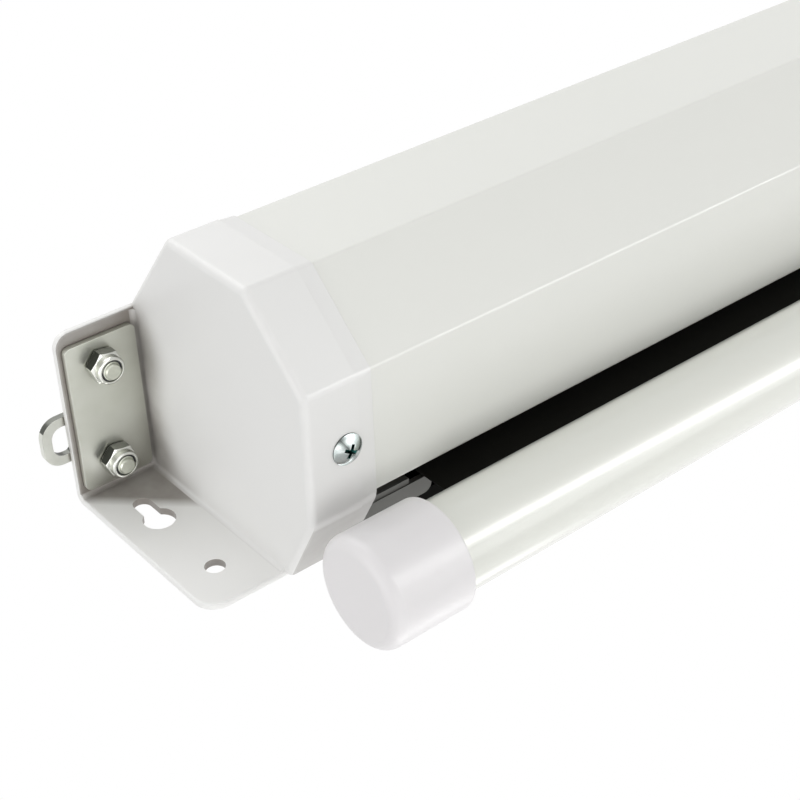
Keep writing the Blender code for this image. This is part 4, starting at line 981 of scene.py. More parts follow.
@dataclass
class EndCap:
    """Moulded cup over the casing's end with a wall flange and a ceiling flange."""

    side: Side
    depth: float = 19.4 * MM
    end_wall: float = 2.5 * MM
    face_radius: float = 1.8 * MM
    corner_radius: float = 2.4 * MM
    low_radius: float = 8 * MM
    rim_radius: float = 0.3 * MM
    rim_band: float = 4.6 * MM
    rim_step: float = 0.15 * MM
    rim_drop: float = 0.35 * MM
    mouth_wall: float = 0.6 * MM
    flange_width: float = 22.2 * MM
    flange: float = 2.0 * MM
    flange_edge: float = 0.6 * MM
    wall_height: float = 59.4 * MM
    ceiling_depth: float = 49.8 * MM
    wall_corner: float = 6 * MM
    ceiling_corner: float = 4 * MM
    junction: float = 1.3 * MM
    proud: float = 0.05 * MM
    section: tuple[Point, ...] = ((0, 0), (-49.8 * MM, 0), (-76 * MM, -21 * MM), (-76 * MM, -51.8 * MM),
                                  (-56.8 * MM, -72 * MM), (-21.5 * MM, -72 * MM), (0, -60.7 * MM))
    key_width: float = 4.8 * MM
    key_drop: float = 14.4 * MM
    key_round: float = 8.4 * MM
    key_round_drop: float = 22.4 * MM
    hole: float = 5.2 * MM
    hole_drop: float = 46.9 * MM
    hole_edge: float = 0.16 * MM
    # How dark the painted shade is on the cup's low rear side, under the hanger's plate and in the wall holes.
    low_side_painted_shade: float = 0.5
    low_side_turn: float = 0.45
    plate_painted_shade: float = 0.68
    hole_painted_shade: float = 0.85
    screw_spot: Triple = (11.1 * MM, -39.1 * MM, -72.02 * MM)

    def build(self) -> Object:
        """Cup, flanges and their fillets as one solid, with the wall holes cut."""
        piece = as_object(f"end_cap_{self.side.value}", self._cup())
        combine(piece, self._flanges(), Join.ADD)
        for fillet in self._fillets():
            combine(piece, fillet, Join.ADD)
        for cutter in self._holes():
            combine(piece, cutter, Join.CUT)
        rework(piece, self._soften_holes)
        rework(piece, self._mark_flanges)
        place(piece, self.side.matrix)
        return piece

    def _cup(self) -> BMesh:
        """Hollow cup, its end face rounded on the five free sides."""
        bm = fresh()
        points = [(min(y, -self.proud), min(z, -self.proud)) for y, z in self.section]
        outline(bm, [(0, y, z) for y, z in points])
        round_corners(bm, [self.corner_radius] * (len(points) - 2) + [self.low_radius, self.corner_radius], 6)
        band = self.depth - self.rim_band
        pull(bm, list(bm.faces), Vector((band, 0, 0)))
        bmesh.ops.recalc_face_normals(bm, faces=bm.faces)
        free = corners_of(bm, test=lambda spot: abs(spot.x) < WELD and spot.y < -self.proud - WELD
                          and spot.z < -self.proud - WELD)
        soften(bm, free, self.face_radius, 6)
        far = [face for face in bm.faces if abs(face.calc_center_median().x - band) < WELD]
        bmesh.ops.inset_region(bm, faces=far, thickness=self.rim_step, use_even_offset=True)
        bmesh.ops.inset_region(bm, faces=far, thickness=self.rim_drop, depth=self.rim_band, use_even_offset=True)
        bmesh.ops.inset_region(bm, faces=far, thickness=self.mouth_wall, use_even_offset=True)
        pull_in = Vector((self.end_wall - self.depth, 0, 0))
        inner = pull(bm, far, pull_in)
        bmesh.ops.delete(bm, geom=[face for face in far if face.is_valid and face not in inner], context="FACES")
        tidy(bm)
        rim = corners_of(bm, test=lambda spot: abs(spot.x - self.depth) < WELD)
        soften(bm, rim, self.rim_radius, 3)
        return bm

    def _flanges(self) -> BMesh:
        """L-shaped plate of the two flanges, corners and rims rounded."""
        t, height, depth = self.flange, self.wall_height, self.ceiling_depth
        points = [(0, -height), (0, 0), (-depth, 0), (-depth, -t), (-t, -t), (-t, -height)]
        inside = self.end_wall / 2
        bm = slab(points, [0, self.corner_radius, 0, 0, self.junction, 0], Axis.X, -self.flange_width, inside)
        tip = -self.flange_width
        for radius, coordinate, value in ((self.wall_corner, 2, -height), (self.ceiling_corner, 1, -depth)):
            corner = corners_of(bm, test=lambda spot: abs(spot.x - tip) < WELD and abs(spot[coordinate] - value) < WELD)
            bmesh.ops.bevel(bm, geom=corner, offset=radius, offset_type="OFFSET", affect="EDGES", segments=12,
                            profile=0.5, material=-1)
        rims = corners_of(bm, test=lambda spot: spot.x < inside - WELD)
        soften(bm, rims, self.flange_edge, 4)
        return bm

    def _fillets(self) -> list[BMesh]:
        """Concave fillets where the flanges meet the end face."""
        r, t = self.junction, self.flange
        sunk = 0.5 * MM
        shape = [(-r, -t + sunk), (-r, -t), (0, -t), (0, -t - r), (sunk, -t - r), (sunk, -t + sunk)]
        radii = [0, 0, r * 0.999, 0, 0, 0]
        return [slab(shape, radii, Axis.Z, -self.wall_height + 0.2 * MM, -t / 2),
                slab(shape, radii, Axis.Y, -self.ceiling_depth + self.flange_edge, -t / 2)]

    def _holes(self) -> list[BMesh]:
        """Cutters of the keyhole and of the round hole."""
        low, high = -self.flange - MM, MM
        u, half = -HOLE_INSET, self.key_width / 2
        key = [(u - half, -self.key_round_drop), (u + half, -self.key_round_drop),
               (u + half, -self.key_drop + half), (u - half, -self.key_drop + half)]
        slot = slab(key, [0, 0, half * FULL_ROUND, half * FULL_ROUND], Axis.Y, low, high, 8)
        return [slot, self._drill(self.key_round / 2, -self.key_round_drop, low, high),
                self._drill(self.hole / 2, -self.hole_drop, low, high)]

    def _drill(self, radius: float, z: float, low: float, high: float) -> BMesh:
        """Round cutter through the wall flange."""
        turn = Matrix.Translation((-HOLE_INSET, (low + high) / 2, z)) @ Matrix.Rotation(math.pi / 2, 4, "X")
        return cylinder(radius, high - low, turn, 48)

    def _soften_holes(self, bm: BMesh) -> None:
        """Round the rims of the wall holes."""
        reach = self.flange_width / 2 - 2 * self.flange_edge

        def on_rim(spot: Vector) -> bool:
            """Whether an edge lies on a face of the flange, round a hole."""
            flat = abs(spot.y) < WELD or abs(spot.y + self.flange) < WELD
            near = abs(spot.x + HOLE_INSET) < reach - MM
            return flat and near and -self.hole_drop - 4 * MM < spot.z < -self.key_drop + 4 * MM

        soften(bm, corners_of(bm, test=on_rim), self.hole_edge, 2)

    def _mark_flanges(self, bm: BMesh) -> None:
        """Give the flanges their own finish and mark where shade is painted.

        That is the face under the hanger's plate, the walls of the wall holes and the cup's low rear side.
        """
        layer = layer_of(bm, Mark.PAINTED_SHADE)
        for face in bm.faces:
            spot, way = face.calc_center_median(), face.normal
            if spot.x > -self.junction:
                low_side = way.y > 0.05 and way.z < -0.5 and abs(way.x) < 0.5
                if low_side and spot.z < self.section[-1][1]:
                    face[layer] = self.low_side_painted_shade * min(1.0, way.y / self.low_side_turn) ** 2
                continue
            under_plate = way.z < -0.8 and spot.z > -self.flange - 0.1 * MM
            if under_plate:
                face[layer] = self.plate_painted_shade
                continue
            face.material_index = 1
            in_hole = abs(spot.x + HOLE_INSET) < self.key_round / 2 + 0.1 * MM and abs(way.y) < 0.8
            if in_hole and self.hole_drop + 3 * MM > -spot.z > self.key_drop - 3 * MM:
                face[layer] = self.hole_painted_shade

    def dress(self, piece: Object, book: FinishBook) -> None:
        """Satin white moulding with painted shade; its flanges get a lighter copy of the finish as painted light."""
        finishes = [book.cap_plastic, book.flange_plastic_painted_light]
        hand_over(piece, finishes, Body.HOUSING, [f"cap_{self.side.value}"])


@dataclass
class Hanger:
    """Backing plate, eye plate, bolts and locking nuts on one ceiling flange."""

    side: Side
    plate_width: float = 19.6 * MM
    plate_length: float = 42.0 * MM
    plate_mid: float = -25.4 * MM
    plate_centre: float = -11.1 * MM
    plate_corner: float = 1.6 * MM
    plate_edge: float = 0.28 * MM
    backing_top: float = -2.3 * MM
    backing_bottom: float = -3.8 * MM
    eye_bottom: float = 0.3 * MM
    eye_top: float = 2.1 * MM
    eye_tip: float = -28.7 * MM
    eye_mid: float = -19.1 * MM
    eye_half: float = 6.8 * MM
    eye_band: float = 2.6 * MM
    eye_corner: float = 5 * MM
    eye_edge: float = 0.45 * MM
    # How dark the eye's cut sides are painted, as painted shade.
    eye_side_painted_shade: float = 0.88
    bolt_rows: tuple[tuple[str, float], ...] = (("front", -39.4 * MM), ("rear", -11.2 * MM))
    bolt_hole: float = 2.8 * MM
    drill_length: float = 20 * MM
    bolt_radius: float = 2.5 * MM
    bolt_tip: float = -10.0 * MM
    bolt_tip_chamfer: float = 0.55 * MM
    thread_pitch: float = 0.8 * MM
    thread_turns: int = 3
    thread_steps: int = 40
    head_seat: float = 2.4 * MM
    head_top: float = 5.9 * MM
    flats: float = 8 * MM
    chamfer_share: float = 0.97
    chamfer_rise: float = 0.45 * MM
    nut_top: float = -4.1 * MM
    nut_hex_end: float = -7.2 * MM
    nut_end: float = -9.2 * MM
    collar_radius: float = 3.7 * MM
    collar_mouth: float = 2.95 * MM
    # Painted reflections on the nut's collar: how dark, how many streaks and where they turn.
    collar_painted_reflection: float = 0.42
    collar_reflection_streaks: int = 5
    collar_reflection_turn: float = 0.8
    nut_bore: float = 2.72 * MM
    ring_outer: float = 2.86 * MM
    ring_inner: float = 2.45 * MM
    hex_turn_deg: float = 40
    # Painted reflection of each hexagon flat: how dark it is painted.
    painted_flat_reflections: tuple[float, ...] = (0.10, 0.60, 0.30, 0.16, 0.97, 0.62)

    def build(self, book: FinishBook) -> None:
        """Build and dress every piece of the hanger."""
        end = self.side.value
        backing = as_object(f"hanger_plate_{end}", self._plate(self.backing_bottom, self.backing_top))
        self._drill(backing)
        rework(backing, lambda bm: soften(bm, corners_of(bm), self.plate_edge, 3))
        place(backing, self.side.matrix)
        hand_over(backing, [book.plate_zinc], Body.HOUSING, [f"backing_plate_{end}"])
        eye = self._eye()
        place(eye, self.side.matrix)
        hand_over(eye, [book.eye_zinc], Body.HOUSING, [f"eye_plate_{end}"])
        for row, y in self.bolt_rows:
            spot = self.side.matrix @ Vector((-HOLE_INSET, y, 0))
            self._bolt(f"{end}_{row}", spot, book)
            self._nut(f"{end}_{row}", spot, book)

    def _plate(self, low: float, high: float) -> BMesh:
        """Rounded plate that covers the flange."""
        near, far = self.plate_centre + self.plate_width / 2, self.plate_centre - self.plate_width / 2
        first, last = self.plate_mid - self.plate_length / 2, self.plate_mid + self.plate_length / 2
        return slab([(near, first), (near, last), (far, last), (far, first)], [self.plate_corner] * 4, Axis.Z,
                    low, high, 6)

    def _drill(self, piece: Object) -> None:
        """Cut the two bolt holes."""
        for _, y in self.bolt_rows:
            spot = Matrix.Translation((-HOLE_INSET, y, 0))
            combine(piece, cylinder(self.bolt_hole, self.drill_length, spot, 32), Join.CUT)

    def _eye(self) -> Object:
        """Plate with the flat loop that hangs on a hook."""
        piece = as_object(f"hanging_eye_{self.side.value}", self._plate(self.eye_bottom, self.eye_top))
        tip, mid, half, band = self.eye_tip, self.eye_mid, self.eye_half, self.eye_band
        root = self.plate_centre
        loop = [(tip, mid - half), (root, mid - half), (root, mid + half), (tip, mid + half)]
        sunk = 0.01 * MM
        combine(piece, slab(loop, [self.eye_corner, 0, 0, self.eye_corner], Axis.Z, self.eye_bottom + sunk,
                            self.eye_top - sunk, 10), Join.ADD)
        edge = self.plate_centre - self.plate_width / 2 - 0.3 * MM
        inner = self.eye_corner - band + 0.6 * MM
        hole = [(tip + band, mid - half + band), (edge, mid - half + band), (edge, mid + half - band),
                (tip + band, mid + half - band)]
        combine(piece, slab(hole, [inner, 1 * MM, 1 * MM, inner], Axis.Z, -MM, 4 * MM, 8), Join.CUT)
        self._drill(piece)
        rework(piece, self._finish_eye)
        return piece

    def _finish_eye(self, bm: BMesh) -> None:
        """Soften the eye's edges and darken its cut sides as painted shade."""
        soften(bm, corners_of(bm), self.eye_edge, 4)
        layer = layer_of(bm, Mark.PAINTED_REFLECTION_AND_SHADE)
        for face in bm.faces:
            way = face.normal
            if abs(way.z) < 0.93 and (abs(way.y) > 0.4 or way.x > 0.3):
                face[layer] = self.eye_side_painted_shade

    def _hexagon(self, low: float, high: float, chamfered: Sequence[bool]) -> Object:
        """Hexagonal prism with chamfered corners at the ends that are named."""
        reach = self.flats / 2 / math.cos(math.pi / 6)
        turn = Matrix.Rotation(math.radians(self.hex_turn_deg), 4, "Z")
        middle = Matrix.Translation((0, 0, (low + high) / 2))
        piece = as_object("hexagon", cylinder(reach, high - low, middle @ turn, 6))
        small, big = self.flats / 2 * self.chamfer_share, reach * 1.06
        rise = self.chamfer_rise
        profile = [(low, 0), (low, small if chamfered[0] else big), (low + rise, big), (high - rise, big),
                   (high, small if chamfered[1] else big), (high, 0)]
        combine(piece, turned(profile, [0] * 6, Axis.Z, 48), Join.KEEP_COMMON)
        return piece

    def _bolt(self, name: str, spot: Vector, book: FinishBook) -> None:
        """Bolt with a chamfered hexagon head and a cut thread at its tip."""
        piece = self._hexagon(self.head_seat, self.head_top, (False, True))
        piece.name = f"hanger_bolt_{name}"
        core = self.bolt_radius - 0.34 * MM
        edge = self.bolt_tip_chamfer
        shank = [(self.head_seat + MM, 0), (self.head_seat + MM, self.bolt_radius),
                 (self.nut_hex_end + MM, self.bolt_radius), (self.nut_hex_end + 0.6 * MM, core),
                 (self.bolt_tip + edge, core), (self.bolt_tip, core - edge / 2), (self.bolt_tip, 0)]
        combine(piece, turned(shank, [0] * 7, Axis.Z, 40), Join.ADD)
        combine(piece, self._thread(), Join.ADD)

        def finish(bm: BMesh) -> None:
            """Soften the head, paint dark reflections on its flats and give the threaded tip its own plating."""
            soften(bm, corners_of(bm, test=lambda p: p.z > self.head_seat), 0.15 * MM, 2)
            self._paint_flat_reflections(bm, self.head_seat - WELD, self.head_top + WELD)
            for face in bm.faces:
                face.material_index = 1 if face.calc_center_median().z < self.head_seat else 0

        rework(piece, finish)
        place(piece, Matrix.Translation(spot))
        hand_over(piece, [book.nut_zinc, book.stud_zinc], Body.HOUSING, [f"bolt_{name}"],
                  crease_deg=40)

    def _paint_flat_reflections(self, bm: BMesh, low: float, high: float) -> None:
        """Write the painted reflection of each polished flat and each streak of the collar: how dark it is.

        Args:
            bm: The nut's or the head's mesh, its axis on z.
            low: Lowest z of the faces that count.
            high: Highest z of the faces that count.
        """
        layer = layer_of(bm, Mark.PAINTED_REFLECTION_AND_SHADE)
        for face in bm.faces:
            spot = face.calc_center_median()
            if abs(face.normal.z) > 0.6 or not low < spot.z < high or spot.xy.length < 2.9 * MM:
                continue
            turn = math.atan2(face.normal.y, face.normal.x) % FULL_TURN
            flat = round((math.degrees(turn) - self.hex_turn_deg + 30) / 60) % 6
            if spot.xy.length > self.flats / 2 * 0.95:
                face[layer] = self.painted_flat_reflections[flat] * (1 - 0.6 * abs(face.normal.z))
            else:
                streak = 0.5 + 0.5 * math.sin(self.collar_reflection_streaks * turn + self.collar_reflection_turn)
                face[layer] = self.collar_painted_reflection * streak ** 2

    def _thread(self) -> BMesh:
        """Screw thread: a ridge spun along the shank with an advance at each step."""
        bm = fresh()
        root, crest, half = self.bolt_radius - 0.5 * MM, self.bolt_radius - 0.1 * MM, self.thread_pitch * 0.45
        start = self.bolt_tip + half + 0.15 * MM
        ridge = [(root, 0, start - half), (crest, 0, start - 0.06 * MM), (crest, 0, start + 0.06 * MM),
                 (root, 0, start + half)]
        outline(bm, ridge)
        steps, turns = self.thread_steps, self.thread_turns
        bmesh.ops.spin(bm, geom=list(bm.verts) + list(bm.edges) + list(bm.faces), cent=(0, 0, 0), axis=(0, 0, 1),
                       dvec=(0, 0, self.thread_pitch / steps), angle=FULL_TURN * turns, steps=steps * turns)
        tidy(bm)
        return bm

    def _nut(self, name: str, spot: Vector, book: FinishBook) -> None:
        """Locking nut: hexagon, rolled collar and the nylon ring inside it, whose near black is painted shade of the
        gap.
        """
        piece = self._hexagon(self.nut_hex_end, self.nut_top, (True, True))
        piece.name = f"hanger_nut_{name}"
        inside, end, outer = self.nut_hex_end + MM, self.nut_end, self.collar_radius
        collar = [(inside, 2.7 * MM), (inside, outer), (end, outer), (end, self.collar_mouth),
                  (end + 0.5 * MM, 2.7 * MM)]
        combine(piece, turned(collar, [0, 0, 0.55 * MM, 0.12 * MM, 0], Axis.Z, 48, 6), Join.ADD)
        bore = [(end - MM, 0), (end - MM, self.nut_bore), (self.nut_top + MM, self.nut_bore), (self.nut_top + MM, 0)]
        combine(piece, turned(bore, [0] * 4, Axis.Z, 48), Join.CUT)

        def finish(bm: BMesh) -> None:
            """Soften the hexagon and paint dark reflections on its flats and the collar."""
            soften(bm, corners_of(bm, test=lambda p: p.z > self.nut_hex_end), 0.12 * MM, 2)
            self._paint_flat_reflections(bm, self.nut_end - WELD, self.nut_top + WELD)

        rework(piece, finish)
        place(piece, Matrix.Translation(spot))
        hand_over(piece, [book.nut_zinc], Body.HOUSING, [f"nut_{name}"], crease_deg=40)
        ring = [(end + 1.6 * MM, self.ring_inner), (end + 1.6 * MM, 2.74 * MM), (end + 0.35 * MM, self.ring_outer),
                (end + 0.35 * MM, 2.52 * MM)]
        insert = as_object(f"lock_ring_{name}", turned(ring, [0, 0, 0.08 * MM, 0.08 * MM], Axis.Z, 48, 2))
        place(insert, Matrix.Translation(spot))
        hand_over(insert, [book.lock_ring], Body.HOUSING)


@dataclass
class PanScrew:
    """Pan-head screw with a cross recess."""

    name: str
    stands_for: str
    spot: Vector
    axis: Axis
    body: Body
    head: float = 4.1 * MM
    rise: float = 1.6 * MM
    side_wall: float = 0.3 * MM
    shank: float = 2 * MM
    length: float = 11 * MM
    arm: float = 2.1 * MM
    recess_turn_deg: float = 28
    # Painted shade of the head's side wall and painted reflections on its dome.
    side_painted_shade: float = 0.85
    painted_reflection_streaks: tuple[Triple, ...] = ((-122, 34, 0.88), (60, 40, 0.60))

    def build(self, book: FinishBook) -> None:
        """Turn the head and shank, cut the recess and dress the screw; the head is on the negative side."""
        r, h = self.head, self.rise
        profile = [(self.length, 0), (self.length, self.shank * 0.4), (self.length - 2 * self.shank, self.shank),
                   (0, self.shank), (0, r), (-self.side_wall, r), (-h * 0.92, r * 0.60), (-h, 0)]
        radii = [0, 0, 0, 0, 0.08 * MM, 0.25 * MM, 1.6 * r, 0]
        piece = as_object(self.name, turned(profile, radii, self.axis, 64, 8))
        for quarter in (0, 1):
            combine(piece, self._wedge(quarter), Join.CUT)
        rework(piece, self._finish)
        place(piece, Matrix.Translation(self.spot))
        hand_over(piece, [book.screw_zinc, book.recess_steel_painted_shade], self.body, [self.stands_for],
                  crease_deg=40)

    def _finish(self, bm: BMesh) -> None:
        """Soften the recess, give its sides the near-black finish as painted shade, darken the head's side wall as
        painted shade and paint dark reflections on the dome.
        """
        layer = layer_of(bm, Mark.PAINTED_REFLECTION_AND_SHADE)
        for face in bm.faces:
            spot = face.calc_center_median()
            far, steep = off_axis(spot, self.axis), abs(self._along(face.normal))
            if far < self.arm + 0.1 * MM and self._along(spot) < 0.1 * MM and (
                    steep < 0.8 or self._along(spot) > -self.rise * 0.6):
                face.material_index = 1
            elif steep < 0.5:
                face[layer] = self.side_painted_shade
            elif far > 0.25 * self.head:
                face[layer] = self._painted_reflection_at(spot)
        soften(bm, corners_of(bm, 40, self._in_head), 0.06 * MM, 2)

    def _painted_reflection_at(self, spot: Vector) -> float:
        """Painted reflection on the polished head at a point: two dark streaks on a light dome."""
        across = spot.x
        up = spot.y if self.axis is Axis.Z else spot.z
        turn = math.degrees(math.atan2(up, across))
        dark = 0.0
        for middle, width, depth in self.painted_reflection_streaks:
            away = abs((turn - middle + 180) % 360 - 180)
            dark = max(dark, depth * max(0.0, 1 - away / width))
        return dark

    def _along(self, vector: Vector) -> float:
        """A vector's part along the screw's axis."""
        return vector.z if self.axis is Axis.Z else vector.y

    def _in_head(self, spot: Vector) -> bool:
        """Whether a point lies in the recess of the head."""
        return self._along(spot) < -self.rise * 0.2 and off_axis(spot, self.axis) < self.arm * 1.1

    def _wedge(self, quarter: int) -> BMesh:
        """One bar of the cross, narrower and shorter at its bottom."""
        long, wide, deep = self.arm, self.arm * 0.24, self.rise * 0.85
        top = -self.rise - 0.2 * MM
        bm = fresh()
        outline(bm, [self.axis.point(top, a, b) for a, b in
                     ((-long, -wide), (long, -wide), (long, wide), (-long, wide))])
        moved = pull(bm, list(bm.faces), self.axis.point(deep + 0.2 * MM, 0, 0))
        centre = self.axis.point(top + deep, 0, 0)
        bmesh.ops.scale(bm, vec=(0.55, 0.55, 0.55), verts=[v for face in moved for v in face.verts],
                        space=Matrix.Translation(-centre))
        turn = Matrix.Rotation(math.radians(self.recess_turn_deg + 90 * quarter), 4, self.axis.value)
        bmesh.ops.transform(bm, matrix=turn, verts=bm.verts)
        tidy(bm)
        return bm


@dataclass
class Fabric:
    """The cloth: a spiral roll on the roller and the short strip that hangs to the bar."""

    half_width: float = 890 * MM
    roller_y: float = -40.9533 * MM
    roller_z: float = -1.0 * MM
    outer: float = 24.78 * MM
    core: float = 19.9 * MM
    pitch: float = 0.42 * MM
    thickness: float = 0.36 * MM
    leave: float = 25.503 * MM
    leave_deg: float = 60
    steps_a_turn: int = 60
    wound: float = 1.74
    strip_bottom: float = -48.35 * MM

    def build(self, book: FinishBook) -> None:
        """Build, dress and declare both parts of the cloth."""
        roll = self._roll()
        hand_over(roll, [book.black_cloth], Body.ROLLER, ["fabric_roll"],
                  crease_deg=30, weighted=False)
        strip = self._strip()
        strip.data.materials.append(book.screen_cloth)
        strip.data.materials.append(book.black_cloth)
        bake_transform(strip, Body.HOUSING.value, Body.WEIGHT_BAR.value, start=(MID_X, FABRIC_Y, self.roller_z),
                 end=(MID_X, FABRIC_Y, self.strip_bottom))
        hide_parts("fabric_drop")
        LOG.info("%s and %s: cloth of %.2f m wound", roll.name, strip.name, self.wound)

    def _roll(self) -> Object:
        """Spiral sheet, its outer end leading off towards the strip."""
        turns = (self.outer - self.core) / self.pitch
        count = round(turns * self.steps_a_turn)
        path = []
        for k in range(count + 1):
            angle = FULL_TURN * turns * k / count
            radius = self.outer - self.pitch * angle / FULL_TURN
            lead = max(0.0, 1 - math.degrees(angle) / self.leave_deg)
            radius += (self.leave - self.outer) * lead ** 2
            path.append((self.roller_y + radius * math.cos(angle), self.roller_z + radius * math.sin(angle)))
        bm = ribbon(path, MID_X - self.half_width, 2 * self.half_width)
        bmesh.ops.solidify(bm, geom=bm.faces[:], thickness=self.thickness)
        bmesh.ops.recalc_face_normals(bm, faces=bm.faces)
        return as_object("cloth_roll", bm)

    def _strip(self) -> Object:
        """Flat strip with points only at its top and bottom, so that it stretches evenly as the bar drops."""
        half = self.thickness / 2
        bm = slab([(FABRIC_Y - half, self.strip_bottom), (FABRIC_Y + half, self.strip_bottom),
                   (FABRIC_Y + half, self.roller_z), (FABRIC_Y - half, self.roller_z)], [0] * 4, Axis.X,
                  MID_X - self.half_width, MID_X + self.half_width)
        for face in bm.faces:
            face.material_index = 0 if face.normal.y < -0.5 else 1
        return as_object("cloth_strip", bm)


@dataclass
class WeightBar:
    """Slit tube at the foot of the cloth with a moulded cap on each end."""

    radius: float = 11.7 * MM
    wall: float = 1.1 * MM
    edge: float = 0.25 * MM
    slit: float = 2.4 * MM
    reach: float = 926.8 * MM
    cap_tip: float = 930.1 * MM
    cap_length: float = 23.2 * MM
    cap_radius: float = 14.2 * MM
    cap_bore: float = 12.0 * MM
    cap_end_wall: float = 3 * MM
    cap_edge: float = 3.2 * MM
    cap_rim: float = 0.8 * MM

    def build(self, book: FinishBook) -> None:
        """Build and dress the tube and both caps."""
        half_gap = math.asin(self.slit / 2 / self.radius)
        tube = slit_tube(self.reach, self.radius - self.wall, self.radius, half_gap, 96)
        soften(tube, corners_of(tube), self.edge, 2)
        piece = as_object("bar_sleeve", tube)
        place(piece, self._spot())
        hand_over(piece, [book.bar_paint], Body.WEIGHT_BAR, ["bar_tube"])
        for side in Side:
            self._cap(side, book)

    def _spot(self) -> Matrix:
        """Place of the bar's axis."""
        return Matrix.Translation((MID_X, FABRIC_Y, BAR_Z))

    def _cap(self, side: Side, book: FinishBook) -> None:
        """Turned cap with a soft end."""
        out = -side.sign
        rim, floor = self.cap_tip - self.cap_length, self.cap_tip - self.cap_end_wall
        profile = [(out * self.cap_tip, 0), (out * self.cap_tip, self.cap_radius), (out * rim, self.cap_radius),
                   (out * rim, self.cap_bore), (out * floor, self.cap_bore), (out * floor, 0)]
        bm = turned(profile, [0, self.cap_edge, self.cap_rim, 0.2 * MM, 0, 0], Axis.X, 96, 8)
        piece = as_object(f"sleeve_cap_{side.value}", bm)
        place(piece, self._spot())
        hand_over(piece, [book.bar_cap_plastic], Body.WEIGHT_BAR, [f"bar_cap_{side.value}"])


@dataclass
class PullHandle:
    """Clip round the bar with two ears, and the loop that swings in them."""

    inner: float = 12.0 * MM
    outer: float = 14.4 * MM
    half: float = 23 * MM
    opening_deg: float = 84
    ear: float = 4 * MM
    ear_width: float = 11 * MM
    eye_z: float = -15.9 * MM
    edge: float = 0.45 * MM
    rod: float = 2 * MM
    play: float = 0.3 * MM
    leg: float = 27.3 * MM
    depth: float = 34 * MM
    bend: float = 9 * MM
    small_bend: float = 4 * MM
    screw_aside: float = 14.3 * MM
    screw_front: float = 14.7 * MM

    def build(self, book: FinishBook) -> None:
        """Build and dress the clip and the loop."""
        spot = Matrix.Translation((MID_X, FABRIC_Y, BAR_Z))
        half_gap = math.radians(self.opening_deg / 2)
        clip = as_object("handle_clip", slit_tube(self.half, self.inner, self.outer, half_gap, 72))
        for side in (-1, 1):
            low, high = sorted((side * (self.half - HAIR), side * (self.half - self.ear)))
            combine(clip, self._ear(low, high), Join.ADD)
            turn = Matrix.Translation(((low + high) / 2, 0, self.eye_z)) @ Matrix.Rotation(math.pi / 2, 4, "Y")
            combine(clip, cylinder(self.rod + self.play, 3 * self.ear, turn, 32), Join.CUT)
        rework(clip, lambda bm: soften(bm, corners_of(bm), self.edge, 3))
        place(clip, spot)
        hand_over(clip, [book.grey_plastic], Body.WEIGHT_BAR, ["handle_saddle"])
        self._loop(book)

    def _ear(self, low: float, high: float) -> BMesh:
        """Rounded ear that holds one end of the loop."""
        w = self.ear_width / 2
        top = -(self.inner + self.outer) / 2
        return slab([(-w, self.eye_z - w), (w, self.eye_z - w), (w, top), (-w, top)],
                    [w * FULL_ROUND, w * FULL_ROUND, 0, 0], Axis.X, low, high, 12)

    def _loop(self, book: FinishBook) -> None:
        """Round rod bent into a loop."""
        bm = fresh()
        route = [(-self.half + self.ear, 0), (-self.leg, 0), (-self.leg, -self.depth), (self.leg, -self.depth),
                 (self.leg, 0), (self.half - self.ear, 0)]
        outline(bm, [(x, 0, z) for x, z in route])
        round_corners(bm, [0, self.small_bend, self.bend, self.bend, self.small_bend, 0], 10)
        bmesh.ops.delete(bm, geom=list(bm.faces), context="FACES_ONLY")
        inner = self.half - self.ear
        bridge = [edge for edge in bm.edges if all(abs(v.co.x) <= inner + WELD and abs(v.co.z) < WELD
                                                   for v in edge.verts)]
        bmesh.ops.delete(bm, geom=bridge, context="EDGES")
        line = as_object("handle_loop", bm)
        curve = self._as_curve(line)
        place(curve, Matrix.Translation((MID_X, FABRIC_Y, BAR_Z + self.eye_z)))
        hand_over(curve, [book.drawn_steel], Body.BAIL, ["handle_bail"],
                  crease_deg=40, weighted=False)

    def _as_curve(self, line: Object) -> Object:
        """Give a chain of edges the thickness of the rod."""
        view = bpy.context.view_layer
        bpy.ops.object.select_all(action="DESELECT")
        line.select_set(True)
        view.objects.active = line
        bpy.ops.object.convert(target="CURVE")
        line.data.bevel_depth = self.rod
        line.data.bevel_resolution = 5
        line.data.use_fill_caps = True
        bpy.ops.object.convert(target="MESH")
        rework(line, tidy)
        return line


class InnerParts:
    """Parts whose CAD shape is right; they only get their finish."""

    def dress(self, book: FinishBook) -> None:
        """Give each kept CAD node its material."""
        wear = {
            "roller_tube": book.drawn_steel, "idle_plug": book.grey_plastic, "ratchet_plug": book.grey_plastic,
            "spring_anchor": book.grey_plastic, "idle_pin": book.turned_steel, "idle_bush": book.nylon,
            "spade_shaft": book.turned_steel, "ratchet_disc": book.turned_steel,
            "torsion_spring": book.drawn_steel, "pawl_upper": book.turned_steel, "pawl_lower": book.turned_steel,
            "pawl_pin_upper": book.turned_steel, "pawl_pin_lower": book.turned_steel,
            "hem_rod": book.drawn_steel, "insert_left": book.insert_plastic_painted_shade, "insert_right": book.insert_plastic_painted_shade,
        }
        for name, material in wear.items():
            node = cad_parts[name]
            for slot in node.material_slots:
                slot.material = material
            LOG.info("%s keeps its CAD shape, finish %s", name, material.name)


# ---------------------------------------------------------------- studio


